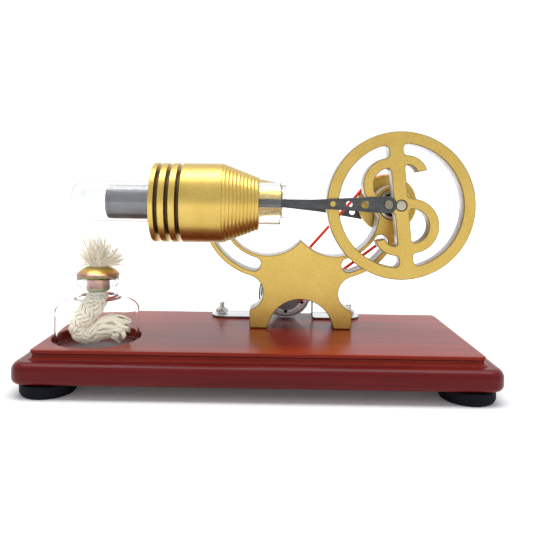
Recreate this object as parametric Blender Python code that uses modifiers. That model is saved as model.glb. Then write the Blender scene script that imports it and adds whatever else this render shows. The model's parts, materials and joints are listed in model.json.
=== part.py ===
"""Hot-air (Stirling) engine model on a wooden base, with a spirit lamp and a belt-driven generator.

Units are metres. X runs along the base to the right, Y away from the viewer's side, Z up.
The origin is the centre of the base on the surface that the feet stand on.
"""

import math

import bmesh
import bpy
from mathutils import Vector

GAP = 0.0003
# How far a cutting tool runs past the face that it enters by
PAST = 0.002

# Base board and its feet
BOARD_LENGTH = 0.2615
BOARD_DEPTH = 0.116
SLAB_BOTTOM = 0.007
SLAB_TOP = 0.0186
TIER_INSET = 0.0085
BASE_TOP = 0.0236
BOARD_CORNER = 0.009
BOARD_ROUND = 0.004
FOOT_RADIUS = 0.015
FOOT_X = 0.1135
FOOT_Y = 0.043

# Machine screws: shank, head, and the holes for them in the board
SCREW_RADIUS = 0.0019
SCREW_HEAD = 0.0038
SCREW_HOLE = 0.0023
COUNTERBORE_RADIUS = 0.0046
COUNTERBORE_TOP = 0.013
HEAD_TOP = 0.0127
HEAD_BOTTOM = 0.0097

# Cylinder and crank axes
AXIS_Z = BASE_TOP + 0.079
FRONT_Y = -0.0191
REAR_Y = 0.0373
SHAFT_X = 0.0834
SHAFT_RADIUS = 0.003
ROD_LENGTH = 0.084
FRONT_CRANK = 0.0081
FRONT_PHASE = math.radians(177.5)
REAR_CRANK = 0.009
REAR_PHASE = math.radians(-80.0)

# Frame plate
PLATE_X = 0.0257
PLATE_FRONT = 0.004
PLATE_BACK = 0.019
BOSS_RADIUS = 0.012
BOSS_OFFSET = SHAFT_X - PLATE_X
LEG_OUTER = 0.032
LEG_INNER = 0.0206
ARCH_RADIUS = 0.0207
ARCH_CENTRE = -0.0022
WAIST_X = 0.0346
WAIST_H = 0.0224
WAIST_RADIUS = 0.011
ARM_X = 0.0212
ARM_H = 0.073
ARM_INNER = 0.0273
ARM_OUTER = 0.0412
SLOT_RADIUS = 0.03375
SLOT_HALF = 0.00435
BEARING_RADIUS = 0.0095
BEARING_WIDTH = 0.006
SLOT_START = math.radians(-90.0 + 14.6)
SLOT_END = math.radians(-90.0 + 58.8)

# Flywheel, crank disc and belt
WHEEL_RADIUS = 0.044
WHEEL_INNER = 0.037
WHEEL_FRONT = -0.016
WHEEL_BACK = -0.007
WHEEL_LEAN = math.radians(5.9)
SPOKE_HALF = 0.0042
BOWL_CENTRE = (-0.0065, 0.0120)
BOWL_INNER = 0.0102
BOWL_OUTER = 0.0162
HOOK_CENTRE = (0.0031, 0.0174)
HOOK_INNER = 0.0069
HOOK_OUTER = 0.0124
DISC_RADIUS = 0.019
DISC_FRONT = 0.022
DISC_BACK = 0.030
BELT_Y = 0.026
BELT_RADIUS = 0.001
BELT_ON_DISC = 0.0185
BELT_ON_PULLEY = 0.009

# Connecting rods
ROD_THICK = 0.0015
ROD_BIG_END = 0.0051
ROD_SMALL_END = 0.0025
ROD_STRAIGHT = 0.045
ROD_FRONT_Y = -0.01705
CRANK_PIN_RADIUS = 0.0015
PIN_HEAD_RADIUS = 0.0026
WRIST_PIN_RADIUS = 0.0012
ROD_HOLES = ((0.0137, 0.00235), (0.0230, 0.00195), (0.0324, 0.0018))

# Front cylinder: hot tube, displacer, cooler
TUBE_RADIUS = 0.0125
TUBE_BORE = 0.0113
TUBE_LEFT = -0.1100
TUBE_RIGHT = 0.0117
TUBE_CORNER = 0.008
COOLER_RADIUS = 0.0231
COOLER_LEFT = -0.0616
COOLER_SHOULDER = -0.0212
COOLER_RIGHT = -0.0008
COOLER_END = 0.0153
COOLER_RIDGES = 10
FIRST_FIN = 0.0027
FIN = 0.0033
FIN_GROOVE = 0.0026
GROOVE_DEPTH = 0.0045
DISPLACER_RADIUS = 0.00987
DISPLACER_LEFT = -0.0888
DISPLACER_RIGHT = -0.0468
DISPLACER_WALL = 0.0006
DISPLACER_CORNER = 0.0025
GUIDE_LEFT = -0.0270
GUIDE_RIGHT = -0.0150
TRANSFER_X = PLATE_X - BOSS_OFFSET
TRANSFER_RADIUS = 0.004
TRANSFER_BORE = 0.002
PORT_RADIUS = 0.0023
GASKET_RADIUS = 0.008
GASKET_THICK = 0.0011

# Rear cylinder: jacket, glass, piston
JACKET_RADIUS = 0.018
JACKET_LEFT = -0.0460
JACKET_SHOULDER = -0.0154
JACKET_RIGHT = 0.0132
JACKET_END = 0.0125
JACKET_RIDGES = 7
GLASS_RADIUS = 0.0112
GLASS_BORE = 0.0097
GLASS_LEFT = -0.0450
GLASS_RIGHT = 0.0166
PISTON_LENGTH = 0.014
PISTON_REACH = 0.005

# Generator and its strap
MOTOR_X = 0.0172
MOTOR_Z = BASE_TOP + 0.0176
MOTOR_RADIUS = 0.017
MOTOR_FRONT = 0.0312
MOTOR_BACK = 0.053
MOTOR_WALL = 0.0008
MOTOR_BOSS = 0.0045
VENT_CIRCLE = 0.0125
VENT_RADIUS = 0.0012
PULLEY_RADIUS = 0.010
STRAP_THICK = 0.001
STRAP_Y = 0.0395
STRAP_HALF_WIDTH = 0.009
STRAP_REACH = 0.0505
STUD_REACH = 0.0437
NUT_CORNERS = 0.0081
NUT_HEIGHT = 0.0032
STUD_ABOVE = 0.0075

# Spirit lamp
LAMP_X = -0.0947
LAMP_Y = FRONT_Y
POCKET_RADIUS = 0.0253
POCKET_DEPTH = 0.0063
BOTTLE_RADIUS = 0.0239
WICK_RADIUS = 0.0058
WICK_THROAT = 0.0039

COLOURS = {
    "lacquered_wood": ((0.30, 0.035, 0.025), 0.22, 0.0),
    "gold_anodised": ((0.60, 0.42, 0.12), 0.38, 1.0),
    "black_rubber": ((0.012, 0.013, 0.016), 0.75, 0.0),
    "bright_steel": ((0.62, 0.63, 0.64), 0.28, 1.0),
    "grey_steel": ((0.26, 0.27, 0.30), 0.40, 1.0),
    "dark_steel": ((0.055, 0.058, 0.06), 0.42, 1.0),
    "chrome": ((0.75, 0.76, 0.78), 0.08, 1.0),
    "glass": ((0.95, 0.98, 0.97), 0.02, 0.0),
    "brass": ((0.62, 0.45, 0.17), 0.30, 1.0),
    "zinc": ((0.66, 0.46, 0.25), 0.25, 1.0),
    "cotton": ((0.80, 0.72, 0.52), 0.95, 0.0),
    "red_rubber": ((0.80, 0.03, 0.015), 0.50, 0.0),
    "graphite": ((0.05, 0.05, 0.055), 0.55, 0.0),
    "fibre": ((0.25, 0.16, 0.10), 0.85, 0.0),
}


def clear_scene():
    for item in list(bpy.data.objects):
        bpy.data.objects.remove(item, do_unlink=True)


def new_collection(name):
    found = bpy.data.collections.new(name)
    bpy.context.scene.collection.children.link(found)
    return found


def new_material(name):
    colour, roughness, metallic = COLOURS[name]
    made = bpy.data.materials.new(name)
    made.use_nodes = True
    shader = made.node_tree.nodes["Principled BSDF"]
    shader.inputs["Base Color"].default_value = (*colour, 1.0)
    shader.inputs["Roughness"].default_value = roughness
    shader.inputs["Metallic"].default_value = metallic
    if name == "glass":
        shader.inputs["Transmission Weight"].default_value = 1.0
    return made


clear_scene()
PARTS = new_collection("stirling_engine_model")
CUTTERS = new_collection("cutters")
MATERIALS = {name: new_material(name) for name in COLOURS}

# Turned pieces are drawn along local Z. These turn local Z to the axis named.
ALONG_X = (0.0, math.pi / 2, 0.0)
ALONG_Y = (-math.pi / 2, 0.0, 0.0)
ALONG_Z = (0.0, 0.0, 0.0)
# Flat outlines are drawn in local X and Y. This stands them up, so that local Y is world Z.
UPRIGHT = (math.pi / 2, 0.0, 0.0)


def place(obj, material, location, rotation=ALONG_Z, parent=None):
    """Put a part in its collection with its own copy of a material."""
    PARTS.objects.link(obj)
    own = MATERIALS[material].copy()
    own.name = f"{obj.name}_{material}"
    obj.data.materials.append(own)
    obj.rotation_euler = rotation
    obj.location = location
    if parent is not None:
        obj.parent = parent
        obj.location = Vector(location) - parent.location
    return obj


def axis_empty(name, location):
    empty = bpy.data.objects.new(name, None)
    empty.empty_display_size = 0.01
    empty.location = location
    PARTS.objects.link(empty)
    return empty


def smooth(mesh, degrees=35.0):
    mesh.shade_smooth()
    mesh.set_sharp_from_angle(angle=math.radians(degrees))


def mesh_object(name, bm):
    mesh = bpy.data.meshes.new(name)
    bm.to_mesh(mesh)
    bm.free()
    smooth(mesh)
    return bpy.data.objects.new(name, mesh)


def screwed(name, profile, closed, steps):
    """A turned shape from (radius, height) points that run down the outer side."""
    mesh = bpy.data.meshes.new(name)
    points = [(radius, 0.0, height) for radius, height in profile]
    edges = [(i, i + 1) for i in range(len(points) - 1)]
    if closed:
        edges.append((len(points) - 1, 0))
    mesh.from_pydata(points, edges, [])
    obj = bpy.data.objects.new(name, mesh)
    turn = obj.modifiers.new("turn", "SCREW")
    turn.axis = "Z"
    turn.steps = steps
    turn.render_steps = steps
    turn.use_smooth_shade = True
    turn.use_merge_vertices = True
    turn.merge_threshold = 0.00001
    return obj


def ring_profile(inner, outer, low, high):
    return [(outer, high), (outer, low), (inner, low), (inner, high)]


def ring(name, inner, outer, low, high, steps=24):
    return screwed(name, ring_profile(inner, outer, low, high), True, steps)


def solid_profile(points):
    """Close a run of outer (radius, height) points onto the axis at both ends."""
    return [(0.0, points[0][1])] + list(points) + [(0.0, points[-1][1])]


def rod_shape(name, radius, low, high, steps=20):
    return screwed(name, solid_profile([(radius, high), (radius, low)]), False, steps)


def arc(centre, radius, start, end, count):
    """Points along an arc, both ends included, with angles in radians."""
    turns = [start + (end - start) * i / count for i in range(count + 1)]
    return [(centre[0] + radius * math.cos(a), centre[1] + radius * math.sin(a)) for a in turns]


def circle(centre, radius, count):
    return arc(centre, radius, 0.0, 2 * math.pi, count)[:-1]


def angle_to(centre, point):
    return math.atan2(point[1] - centre[1], point[0] - centre[0])


def crossing(first, first_radius, second, second_radius, side):
    """One of the two points where two circles cross; side is 1 or -1."""
    run = Vector(second) - Vector(first)
    along = (run.length_squared + first_radius**2 - second_radius**2) / (2 * run.length)
    across = math.sqrt(first_radius**2 - along**2) * side
    unit = run.normalized()
    return (
        first[0] + unit.x * along - unit.y * across,
        first[1] + unit.y * along + unit.x * across,
    )


def flat_curve(name, outlines, thickness):
    """A 2D curve filled on both faces; the first outline is outside, the others are holes."""
    data = bpy.data.curves.new(name, "CURVE")
    data.dimensions = "2D"
    data.fill_mode = "BOTH"
    data.extrude = thickness / 2
    for outline in outlines:
        spline = data.splines.new("POLY")
        spline.points.add(len(outline) - 1)
        for point, (x, y) in zip(spline.points, outline):
            point.co = (x, y, 0.0, 1.0)
        spline.use_cyclic_u = True
    return bpy.data.objects.new(name, data)


def as_mesh(curve):
    """The evaluated mesh of a curve object, with its loose caps welded on."""
    bpy.context.scene.collection.objects.link(curve)
    graph = bpy.context.evaluated_depsgraph_get()
    graph.update()
    mesh = bpy.data.meshes.new_from_object(curve.evaluated_get(graph))
    bm = bmesh.new()
    bm.from_mesh(mesh)
    bmesh.ops.remove_doubles(bm, verts=bm.verts, dist=0.000002)
    bmesh.ops.recalc_face_normals(bm, faces=bm.faces)
    bm.to_mesh(mesh)
    bm.free()
    name = curve.name
    data = curve.data
    bpy.data.objects.remove(curve)
    bpy.data.curves.remove(data)
    mesh.name = name
    smooth(mesh)
    return bpy.data.objects.new(name, mesh)


def flat_part(name, outlines, thickness):
    return as_mesh(flat_curve(name, outlines, thickness))


def cutter(obj, location, rotation=ALONG_Z):
    CUTTERS.objects.link(obj)
    obj.location = location
    obj.rotation_euler = rotation
    obj.hide_render = True
    obj.display_type = "WIRE"
    return obj


def combine(obj, other, operation):
    step = obj.modifiers.new(operation.lower(), "BOOLEAN")
    step.operation = operation
    step.object = other
    step.solver = "EXACT"


def drill(obj, radius, start, end, steps=24):
    """Cut a round hole along the line between two world points."""
    run = Vector(end) - Vector(start)
    hole = rod_shape(f"hole_in_{obj.name}", radius, 0.0, run.length, steps)
    turn = run.to_track_quat("Z", "Y").to_euler()
    combine(obj, cutter(hole, start, turn), "DIFFERENCE")


def rounded_block(name, size, corner, edge, segments, edge_segments):
    """A box with rounded upright corners and rounded top and bottom edges, centred on the origin."""
    bm = bmesh.new()
    bmesh.ops.create_cube(bm, size=1.0)
    bmesh.ops.scale(bm, vec=size, verts=bm.verts)
    upright = [e for e in bm.edges if abs(e.verts[0].co.z - e.verts[1].co.z) > size[2] / 2]
    bmesh.ops.bevel(bm, geom=upright, offset=corner, segments=segments, profile=0.5, affect="EDGES")
    level = [e for e in bm.edges if abs(e.verts[0].co.z - e.verts[1].co.z) < 1e-6]
    rims = [e for e in level if len({f.normal.z > 0.5 or f.normal.z < -0.5 for f in e.link_faces}) == 2]
    bmesh.ops.bevel(bm, geom=rims, offset=edge, segments=edge_segments, profile=0.5, affect="EDGES")
    return mesh_object(name, bm)


def hexagon(across_corners):
    return circle((0.0, 0.0), across_corners / 2, 6)


def screw_points(top):
    """Outer points of a screw that comes up from a counterbore under the board."""
    head = [(SCREW_HEAD, HEAD_TOP), (SCREW_HEAD, HEAD_BOTTOM)]
    return [(SCREW_RADIUS, top), (SCREW_RADIUS, HEAD_TOP)] + head


def foot_places():
    signs = ((-1, -1), (1, -1), (-1, 1), (1, 1))
    return [(x * FOOT_X, y * FOOT_Y) for x, y in signs]


def frame_screw_places():
    middle = (LEG_OUTER + LEG_INNER) / 2
    return [PLATE_X - middle, PLATE_X + middle]


def stud_places():
    return [MOTOR_X - STUD_REACH, MOTOR_X + STUD_REACH]


def make_base():
    middle = (SLAB_BOTTOM + SLAB_TOP) / 2
    board = rounded_block(
        "base_board",
        (BOARD_LENGTH, BOARD_DEPTH, SLAB_TOP - SLAB_BOTTOM),
        BOARD_CORNER,
        BOARD_ROUND,
        4,
        2,
    )
    place(board, "lacquered_wood", (0, 0, middle))
    tier_height = BASE_TOP - SLAB_TOP + PAST
    tier = rounded_block(
        "tier",
        (BOARD_LENGTH - 2 * TIER_INSET, BOARD_DEPTH - 2 * TIER_INSET, tier_height),
        0.004,
        0.0006,
        3,
        1,
    )
    combine(board, cutter(tier, (0, 0, BASE_TOP - tier_height / 2)), "UNION")
    floor = BASE_TOP - POCKET_DEPTH
    drill(board, POCKET_RADIUS, (LAMP_X, LAMP_Y, floor), (LAMP_X, LAMP_Y, BASE_TOP + PAST), 32)
    below = SLAB_BOTTOM - 0.001
    for x, y in foot_places():
        drill(board, SCREW_RADIUS, (x, y, below), (x, y, 0.015), 12)
    screws = [(x, (PLATE_FRONT + PLATE_BACK) / 2) for x in frame_screw_places()]
    screws += [(x, STRAP_Y) for x in stud_places()]
    for x, y in screws:
        drill(board, SCREW_HOLE, (x, y, below), (x, y, BASE_TOP + PAST), 12)
        drill(board, COUNTERBORE_RADIUS, (x, y, below), (x, y, COUNTERBORE_TOP), 16)


def make_feet():
    for number, (x, y) in enumerate(foot_places(), 1):
        top = SLAB_BOTTOM - GAP
        profile = [
            (FOOT_RADIUS, top),
            (FOOT_RADIUS, 0.0012),
            (FOOT_RADIUS - 0.0008, 0.0),
            (0.0046, 0.0),
            (0.0046, 0.003),
            (0.0019, 0.003),
            (0.0019, top),
        ]
        foot = screwed(f"rubber_foot_{number}", profile, True, 16)
        place(foot, "black_rubber", (x, y, 0))
        shank = [(0.0015, 0.014), (0.0015, 0.0027), (0.0036, 0.0027), (0.0032, 0.0009)]
        screw = screwed(f"foot_screw_{number}", solid_profile(shank), False, 12)
        place(screw, "bright_steel", (x, y, 0))


def plate_half():
    """The right half of the plate's outline, from the peak between the arms to the arch."""
    arm = (ARM_X, ARM_H)
    boss = (BOSS_OFFSET, AXIS_Z - BASE_TOP)
    waist = (WAIST_X, WAIST_H)
    peak = (0.0, ARM_H - math.sqrt(ARM_INNER**2 - ARM_X**2))
    inside = crossing(arm, ARM_INNER, boss, BOSS_RADIUS, -1)
    outside = crossing(arm, ARM_OUTER, boss, BOSS_RADIUS, -1)
    shoulder = (LEG_OUTER, WAIST_H - math.sqrt(WAIST_RADIUS**2 - (WAIST_X - LEG_OUTER) ** 2))
    tangent = angle_to(arm, waist)
    points = arc(arm, ARM_INNER, angle_to(arm, peak) + 2 * math.pi, angle_to(arm, inside) + 2 * math.pi, 12)
    points += arc(boss, BOSS_RADIUS, angle_to(boss, inside) + 2 * math.pi, angle_to(boss, outside), 16)[1:]
    points += arc(arm, ARM_OUTER, angle_to(arm, outside), tangent, 10)[1:]
    waist_end = angle_to(waist, shoulder) + 2 * math.pi
    points += arc(waist, WAIST_RADIUS, tangent + math.pi, waist_end, 8)[1:]
    points += [(LEG_OUTER, GAP), (LEG_INNER, GAP)]
    arch_start = math.acos(LEG_INNER / ARCH_RADIUS)
    points += arc((0.0, ARCH_CENTRE), ARCH_RADIUS, arch_start, math.pi / 2, 8)[1:]
    return points


def slot_outline(side):
    """One arc slot: round ends joined by two arcs about the arm's centre."""
    centre = (ARM_X, ARM_H)
    low, high = SLOT_START, SLOT_END
    first = (centre[0] + SLOT_RADIUS * math.cos(low), centre[1] + SLOT_RADIUS * math.sin(low))
    last = (centre[0] + SLOT_RADIUS * math.cos(high), centre[1] + SLOT_RADIUS * math.sin(high))
    points = arc(centre, SLOT_RADIUS + SLOT_HALF, low, high, 6)
    points += arc(last, SLOT_HALF, high, high + math.pi, 5)[1:]
    points += arc(centre, SLOT_RADIUS - SLOT_HALF, high, low, 6)[1:]
    points += arc(first, SLOT_HALF, low + math.pi, low + 2 * math.pi, 5)[1:-1]
    return [(side * x, y) for x, y in points]


def make_frame():
    right = plate_half()
    left = [(-x, y) for x, y in reversed(right[1:-1])]
    axis_h = AXIS_Z - BASE_TOP
    holes = [slot_outline(1), slot_outline(-1)]
    holes.append(circle((-BOSS_OFFSET, axis_h), TRANSFER_RADIUS + GAP, 20))
    plate = flat_part("frame_plate", [right + left] + holes, PLATE_BACK - PLATE_FRONT)
    middle_y = (PLATE_FRONT + PLATE_BACK) / 2
    place(plate, "gold_anodised", (PLATE_X, middle_y, BASE_TOP), UPRIGHT)
    seat = BEARING_WIDTH + 0.0005
    bore = BEARING_RADIUS + GAP
    web = BEARING_RADIUS - 0.002
    spool = [
        (bore, PLATE_BACK + PAST),
        (bore, PLATE_BACK - seat),
        (web, PLATE_BACK - seat),
        (web, PLATE_FRONT + seat),
        (bore, PLATE_FRONT + seat),
        (bore, PLATE_FRONT - PAST),
    ]
    seats = screwed("bearing_seats", solid_profile(spool), False, 32)
    combine(plate, cutter(seats, (SHAFT_X, 0, AXIS_Z), ALONG_Y), "DIFFERENCE")
    sides = ("left", "right")
    for side, x in zip(sides, frame_screw_places()):
        drill(plate, 0.0022, (x, middle_y, BASE_TOP - PAST), (x, middle_y, BASE_TOP + 0.011), 12)
        shank = screw_points(BASE_TOP + 0.010)
        screw = screwed(f"frame_screw_{side}", solid_profile(shank), False, 12)
        place(screw, "bright_steel", (x, middle_y, 0))


def make_bearings(crank):
    fronts = {"front": PLATE_FRONT + 0.0002, "rear": PLATE_BACK - 0.0002 - BEARING_WIDTH}
    for side, start in fronts.items():
        at = (SHAFT_X, start, AXIS_Z)
        outer = ring(f"bearing_outer_{side}", 0.0076, BEARING_RADIUS, 0.0, BEARING_WIDTH)
        place(outer, "bright_steel", at, ALONG_Y)
        shield_y = 0.0004 if side == "front" else BEARING_WIDTH - 0.0009
        shield = ring(f"bearing_shield_{side}", 0.0049, 0.0073, shield_y, shield_y + 0.0005, 20)
        place(shield, "black_rubber", at, ALONG_Y)
        inner = ring(f"bearing_inner_{side}", SHAFT_RADIUS + GAP, 0.0046, 0.0, BEARING_WIDTH, 20)
        place(inner, "bright_steel", at, ALONG_Y, crank)


def spoke_outlines():
    """The flywheel's spokes in its own frame: two bowls and two hooks of an S, and the bar."""
    strips = []
    for side in (1, -1):
        centre = (side * BOWL_CENTRE[0], side * BOWL_CENTRE[1])
        turn = 0.0 if side == 1 else math.pi
        outer = arc(centre, BOWL_OUTER, turn + math.radians(62), turn + math.radians(296), 20)
        inner = arc(centre, BOWL_INNER, turn + math.radians(296), turn + math.radians(62), 16)
        strips.append(outer + inner)
        centre = (side * HOOK_CENTRE[0], side * HOOK_CENTRE[1])
        outer = arc(centre, HOOK_OUTER, turn + math.radians(18), turn + math.radians(125), 10)
        inner = arc(centre, HOOK_INNER, turn + math.radians(125), turn + math.radians(22), 8)
        strips.append(outer + inner)
    return strips


def make_flywheel(crank):
    thick = WHEEL_BACK - WHEEL_FRONT
    rim = [circle((0, 0), WHEEL_RADIUS, 56), circle((0, 0), WHEEL_INNER, 48)]
    wheel = flat_part("flywheel", rim, thick)
    middle_y = (WHEEL_FRONT + WHEEL_BACK) / 2
    centre = (SHAFT_X, middle_y, AXIS_Z)
    place(wheel, "gold_anodised", centre, UPRIGHT, crank)
    reach = (WHEEL_RADIUS + WHEEL_INNER) / 2
    sine, cosine = math.sin(WHEEL_LEAN), math.cos(WHEEL_LEAN)
    corners = [(SPOKE_HALF, reach), (-SPOKE_HALF, reach), (-SPOKE_HALF, -reach), (SPOKE_HALF, -reach)]
    bar = [(x * cosine - y * sine, x * sine + y * cosine) for x, y in corners]
    for number, outline in enumerate([bar] + spoke_outlines()):
        spoke = flat_part(f"spoke_{number}", [outline], thick)
        combine(wheel, cutter(spoke, centre, UPRIGHT), "UNION")
    front = (SHAFT_X, WHEEL_FRONT - PAST, AXIS_Z)
    drill(wheel, SHAFT_RADIUS + GAP, front, (SHAFT_X, WHEEL_BACK + PAST, AXIS_Z), 20)
    x, z = crank_pin(FRONT_CRANK, FRONT_PHASE)
    drill(wheel, CRANK_PIN_RADIUS + GAP, (x, WHEEL_FRONT - PAST, z), (x, -0.010, z), 12)
    spacer = ring("flywheel_spacer", SHAFT_RADIUS + GAP, 0.005, WHEEL_BACK + GAP, 0.0039, 20)
    place(spacer, "bright_steel", (SHAFT_X, 0, AXIS_Z), ALONG_Y, crank)
    rear = ring("disc_spacer", SHAFT_RADIUS + GAP, 0.0048, 0.0191, DISC_FRONT - GAP, 20)
    place(rear, "bright_steel", (SHAFT_X, 0, AXIS_Z), ALONG_Y, crank)


def crank_pin(radius, phase):
    """World X and Z of a crank pin at rest."""
    return SHAFT_X + radius * math.cos(phase), AXIS_Z + radius * math.sin(phase)


def grooved_profile(outer, bore, bottom, low, high):
    """A pulley's section: a groove wide enough for the belt, its middle at BELT_Y."""
    wide = BELT_RADIUS + 0.0005
    return [
        (outer, high),
        (outer, BELT_Y + wide),
        (bottom, BELT_Y + wide - 0.0003),
        (bottom, BELT_Y - wide + 0.0003),
        (outer, BELT_Y - wide),
        (outer, low),
        (bore, low),
        (bore, high),
    ]


def make_crank(crank):
    shaft = rod_shape("crankshaft", SHAFT_RADIUS, WHEEL_FRONT + 0.0001, DISC_BACK - 0.0001)
    place(shaft, "bright_steel", (SHAFT_X, 0, AXIS_Z), ALONG_Y, crank)
    bottom = BELT_ON_DISC - BELT_RADIUS - GAP
    section = grooved_profile(DISC_RADIUS, SHAFT_RADIUS + GAP, bottom, DISC_FRONT, DISC_BACK)
    disc = screwed("crank_disc", section, True, 36)
    place(disc, "gold_anodised", (SHAFT_X, 0, AXIS_Z), ALONG_Y, crank)
    x, z = crank_pin(FRONT_CRANK, FRONT_PHASE)
    head = ROD_FRONT_Y - ROD_THICK / 2 - GAP
    pin = [
        (CRANK_PIN_RADIUS, -0.0105),
        (CRANK_PIN_RADIUS, head),
        (PIN_HEAD_RADIUS, head),
        (PIN_HEAD_RADIUS - 0.0002, head - 0.0012),
    ]
    front_pin = screwed("front_crank_pin", solid_profile(pin), False, 20)
    place(front_pin, "bright_steel", (x, 0, z), ALONG_Y, crank)


def rod_outlines():
    """A connecting rod along -X from its crank pin, with its lightening holes."""
    taper = math.asin((ROD_BIG_END - ROD_SMALL_END) / ROD_STRAIGHT)
    up = math.pi / 2 - taper
    big = arc((0, 0), ROD_BIG_END, -up, up, 16)
    top = (-ROD_STRAIGHT, ROD_SMALL_END)
    small = arc((-ROD_LENGTH, 0), ROD_SMALL_END, math.pi / 2, 3 * math.pi / 2, 8)
    bottom = (-ROD_STRAIGHT, -ROD_SMALL_END)
    holes = [circle((0, 0), CRANK_PIN_RADIUS + GAP, 16)]
    holes += [circle((-ROD_LENGTH, 0), WRIST_PIN_RADIUS + GAP, 12)]
    holes += [circle((-distance, 0), radius, 16) for distance, radius in ROD_HOLES]
    return [big + [top] + small + [bottom]] + holes


def make_front_rod():
    x, z = crank_pin(FRONT_CRANK, FRONT_PHASE)
    pivot = axis_empty("front_rod_axis", (x, 0, z))
    rod = flat_part("front_rod", rod_outlines(), ROD_THICK)
    place(rod, "dark_steel", (x, ROD_FRONT_Y, z), UPRIGHT, pivot)
    back = ROD_FRONT_Y + ROD_THICK / 2 + GAP
    pin = [
        (0.0022, back + 0.001),
        (0.0022, back),
        (WRIST_PIN_RADIUS, back),
        (WRIST_PIN_RADIUS, back - 0.0017),
    ]
    wrist = screwed("front_wrist_pin", solid_profile(pin), False, 16)
    place(wrist, "bright_steel", (x - ROD_LENGTH, 0, z), ALONG_Y, pivot)
    return x - ROD_LENGTH, z


def rear_wrist_x():
    x, z = crank_pin(REAR_CRANK, REAR_PHASE)
    return x - math.sqrt(ROD_LENGTH**2 - (z - AXIS_Z) ** 2)


def make_rear_rod(piston):
    x, z = crank_pin(REAR_CRANK, REAR_PHASE)
    wrist = (rear_wrist_x(), REAR_Y, AXIS_Z)
    slope = math.atan2(AXIS_Z - z, x - wrist[0])
    pivot = axis_empty("rear_rod_axis", wrist)
    rod = flat_part("rear_rod", rod_outlines(), ROD_THICK)
    place(rod, "dark_steel", (x, REAR_Y, z), (UPRIGHT[0], slope, 0.0), pivot)
    face = REAR_Y - ROD_THICK / 2 - GAP
    head = REAR_Y + ROD_THICK / 2 + GAP
    pin = [
        (PIN_HEAD_RADIUS, head + 0.0011),
        (PIN_HEAD_RADIUS, head),
        (CRANK_PIN_RADIUS, head),
        (CRANK_PIN_RADIUS, face),
        (0.0022, face),
        (0.0022, DISC_BACK + GAP),
    ]
    place(screwed("rear_crank_pin", solid_profile(pin), False, 20), "bright_steel", (x, 0, z), ALONG_Y, pivot)
    make_piston(piston, wrist)


def make_piston(piston, wrist):
    """The graphite piston, with two ears that hold the wrist pin beside the rod."""
    right = -PISTON_REACH
    low = right - PISTON_LENGTH
    section = solid_profile([(GLASS_BORE - GAP, right), (GLASS_BORE - GAP, low)])
    body = screwed("power_piston", section, False, 24)
    place(body, "graphite", wrist, ALONG_X, piston)
    for side in (-1, 1):
        middle_y = REAR_Y + side * (ROD_THICK / 2 + GAP + 0.00075)
        outline = arc((0, 0), 0.003, -math.pi / 2, math.pi / 2, 10)
        outline += [(right - 0.001, 0.003), (right - 0.001, -0.003)]
        ear = flat_part(f"ear_{side}", [outline], 0.0015)
        combine(body, cutter(ear, (wrist[0], middle_y, wrist[2]), UPRIGHT), "UNION")
    reach = 0.0027
    near = (wrist[0], REAR_Y - reach - PAST, AXIS_Z)
    drill(body, WRIST_PIN_RADIUS + GAP, near, (wrist[0], REAR_Y + reach + PAST, AXIS_Z), 12)
    pin = rod_shape("power_wrist_pin", WRIST_PIN_RADIUS, -reach, reach, 12)
    place(pin, "bright_steel", wrist, ALONG_Y, piston)


def ridged(right, shoulder, end_radius, full_radius, ridges):
    """Steps of a ridged taper, from its small right end to its full shoulder."""
    points = []
    pitch = (right - shoulder) / ridges
    fall = (full_radius - end_radius) / ridges
    for step in range(ridges):
        radius = end_radius + fall * step
        points.append((radius, right - pitch * step))
        points.append((radius + fall * 0.55, right - pitch * (step + 0.80)))
    return points


def make_cooler():
    points = ridged(COOLER_RIGHT, COOLER_SHOULDER, COOLER_END, COOLER_RADIUS, COOLER_RIDGES)
    points.append((COOLER_RADIUS, COOLER_SHOULDER))
    root = COOLER_RADIUS - GROOVE_DEPTH
    for number in (2, 1, 0):
        left = COOLER_LEFT + FIRST_FIN + number * (FIN + FIN_GROOVE)
        right = left + FIN_GROOVE
        points += [(COOLER_RADIUS, right), (root, right), (root, left), (COOLER_RADIUS, left)]
    points.append((COOLER_RADIUS, COOLER_LEFT))
    bore = TUBE_RADIUS + GAP
    points += [(bore, COOLER_LEFT), (bore, COOLER_RIGHT)]
    cooler = screwed("cooler", points, True, 26)
    place(cooler, "gold_anodised", (0, FRONT_Y, AXIS_Z), ALONG_X)
    inside = FRONT_Y + TUBE_RADIUS - 0.003
    hole = TRANSFER_RADIUS + GAP
    drill(cooler, hole, (TRANSFER_X, inside, AXIS_Z), (TRANSFER_X, PLATE_FRONT + PAST, AXIS_Z), 20)
    seat = PLATE_FRONT - GAP - GASKET_THICK - GAP
    end = (TRANSFER_X, PLATE_FRONT + PAST, AXIS_Z)
    drill(cooler, GASKET_RADIUS + GAP, (TRANSFER_X, seat, AXIS_Z), end, 24)


def tube_profile():
    """The test tube's wall, from the middle of its floor inside to the middle of its end outside."""
    wall = TUBE_RADIUS - TUBE_BORE
    flat = TUBE_RADIUS - TUBE_CORNER
    centre = TUBE_LEFT + TUBE_CORNER
    turns = [math.pi / 2 * i / 4 for i in range(5)]
    inside = TUBE_CORNER - wall
    inner = [(flat + inside * math.cos(a), centre - inside * math.sin(a)) for a in reversed(turns)]
    outer = [(flat + TUBE_CORNER * math.cos(a), centre - TUBE_CORNER * math.sin(a)) for a in turns]
    mouth = [(TUBE_BORE, TUBE_RIGHT), (TUBE_RADIUS, TUBE_RIGHT)]
    return [(0.0, TUBE_LEFT + wall)] + inner + mouth + outer + [(0.0, TUBE_LEFT)]


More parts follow.
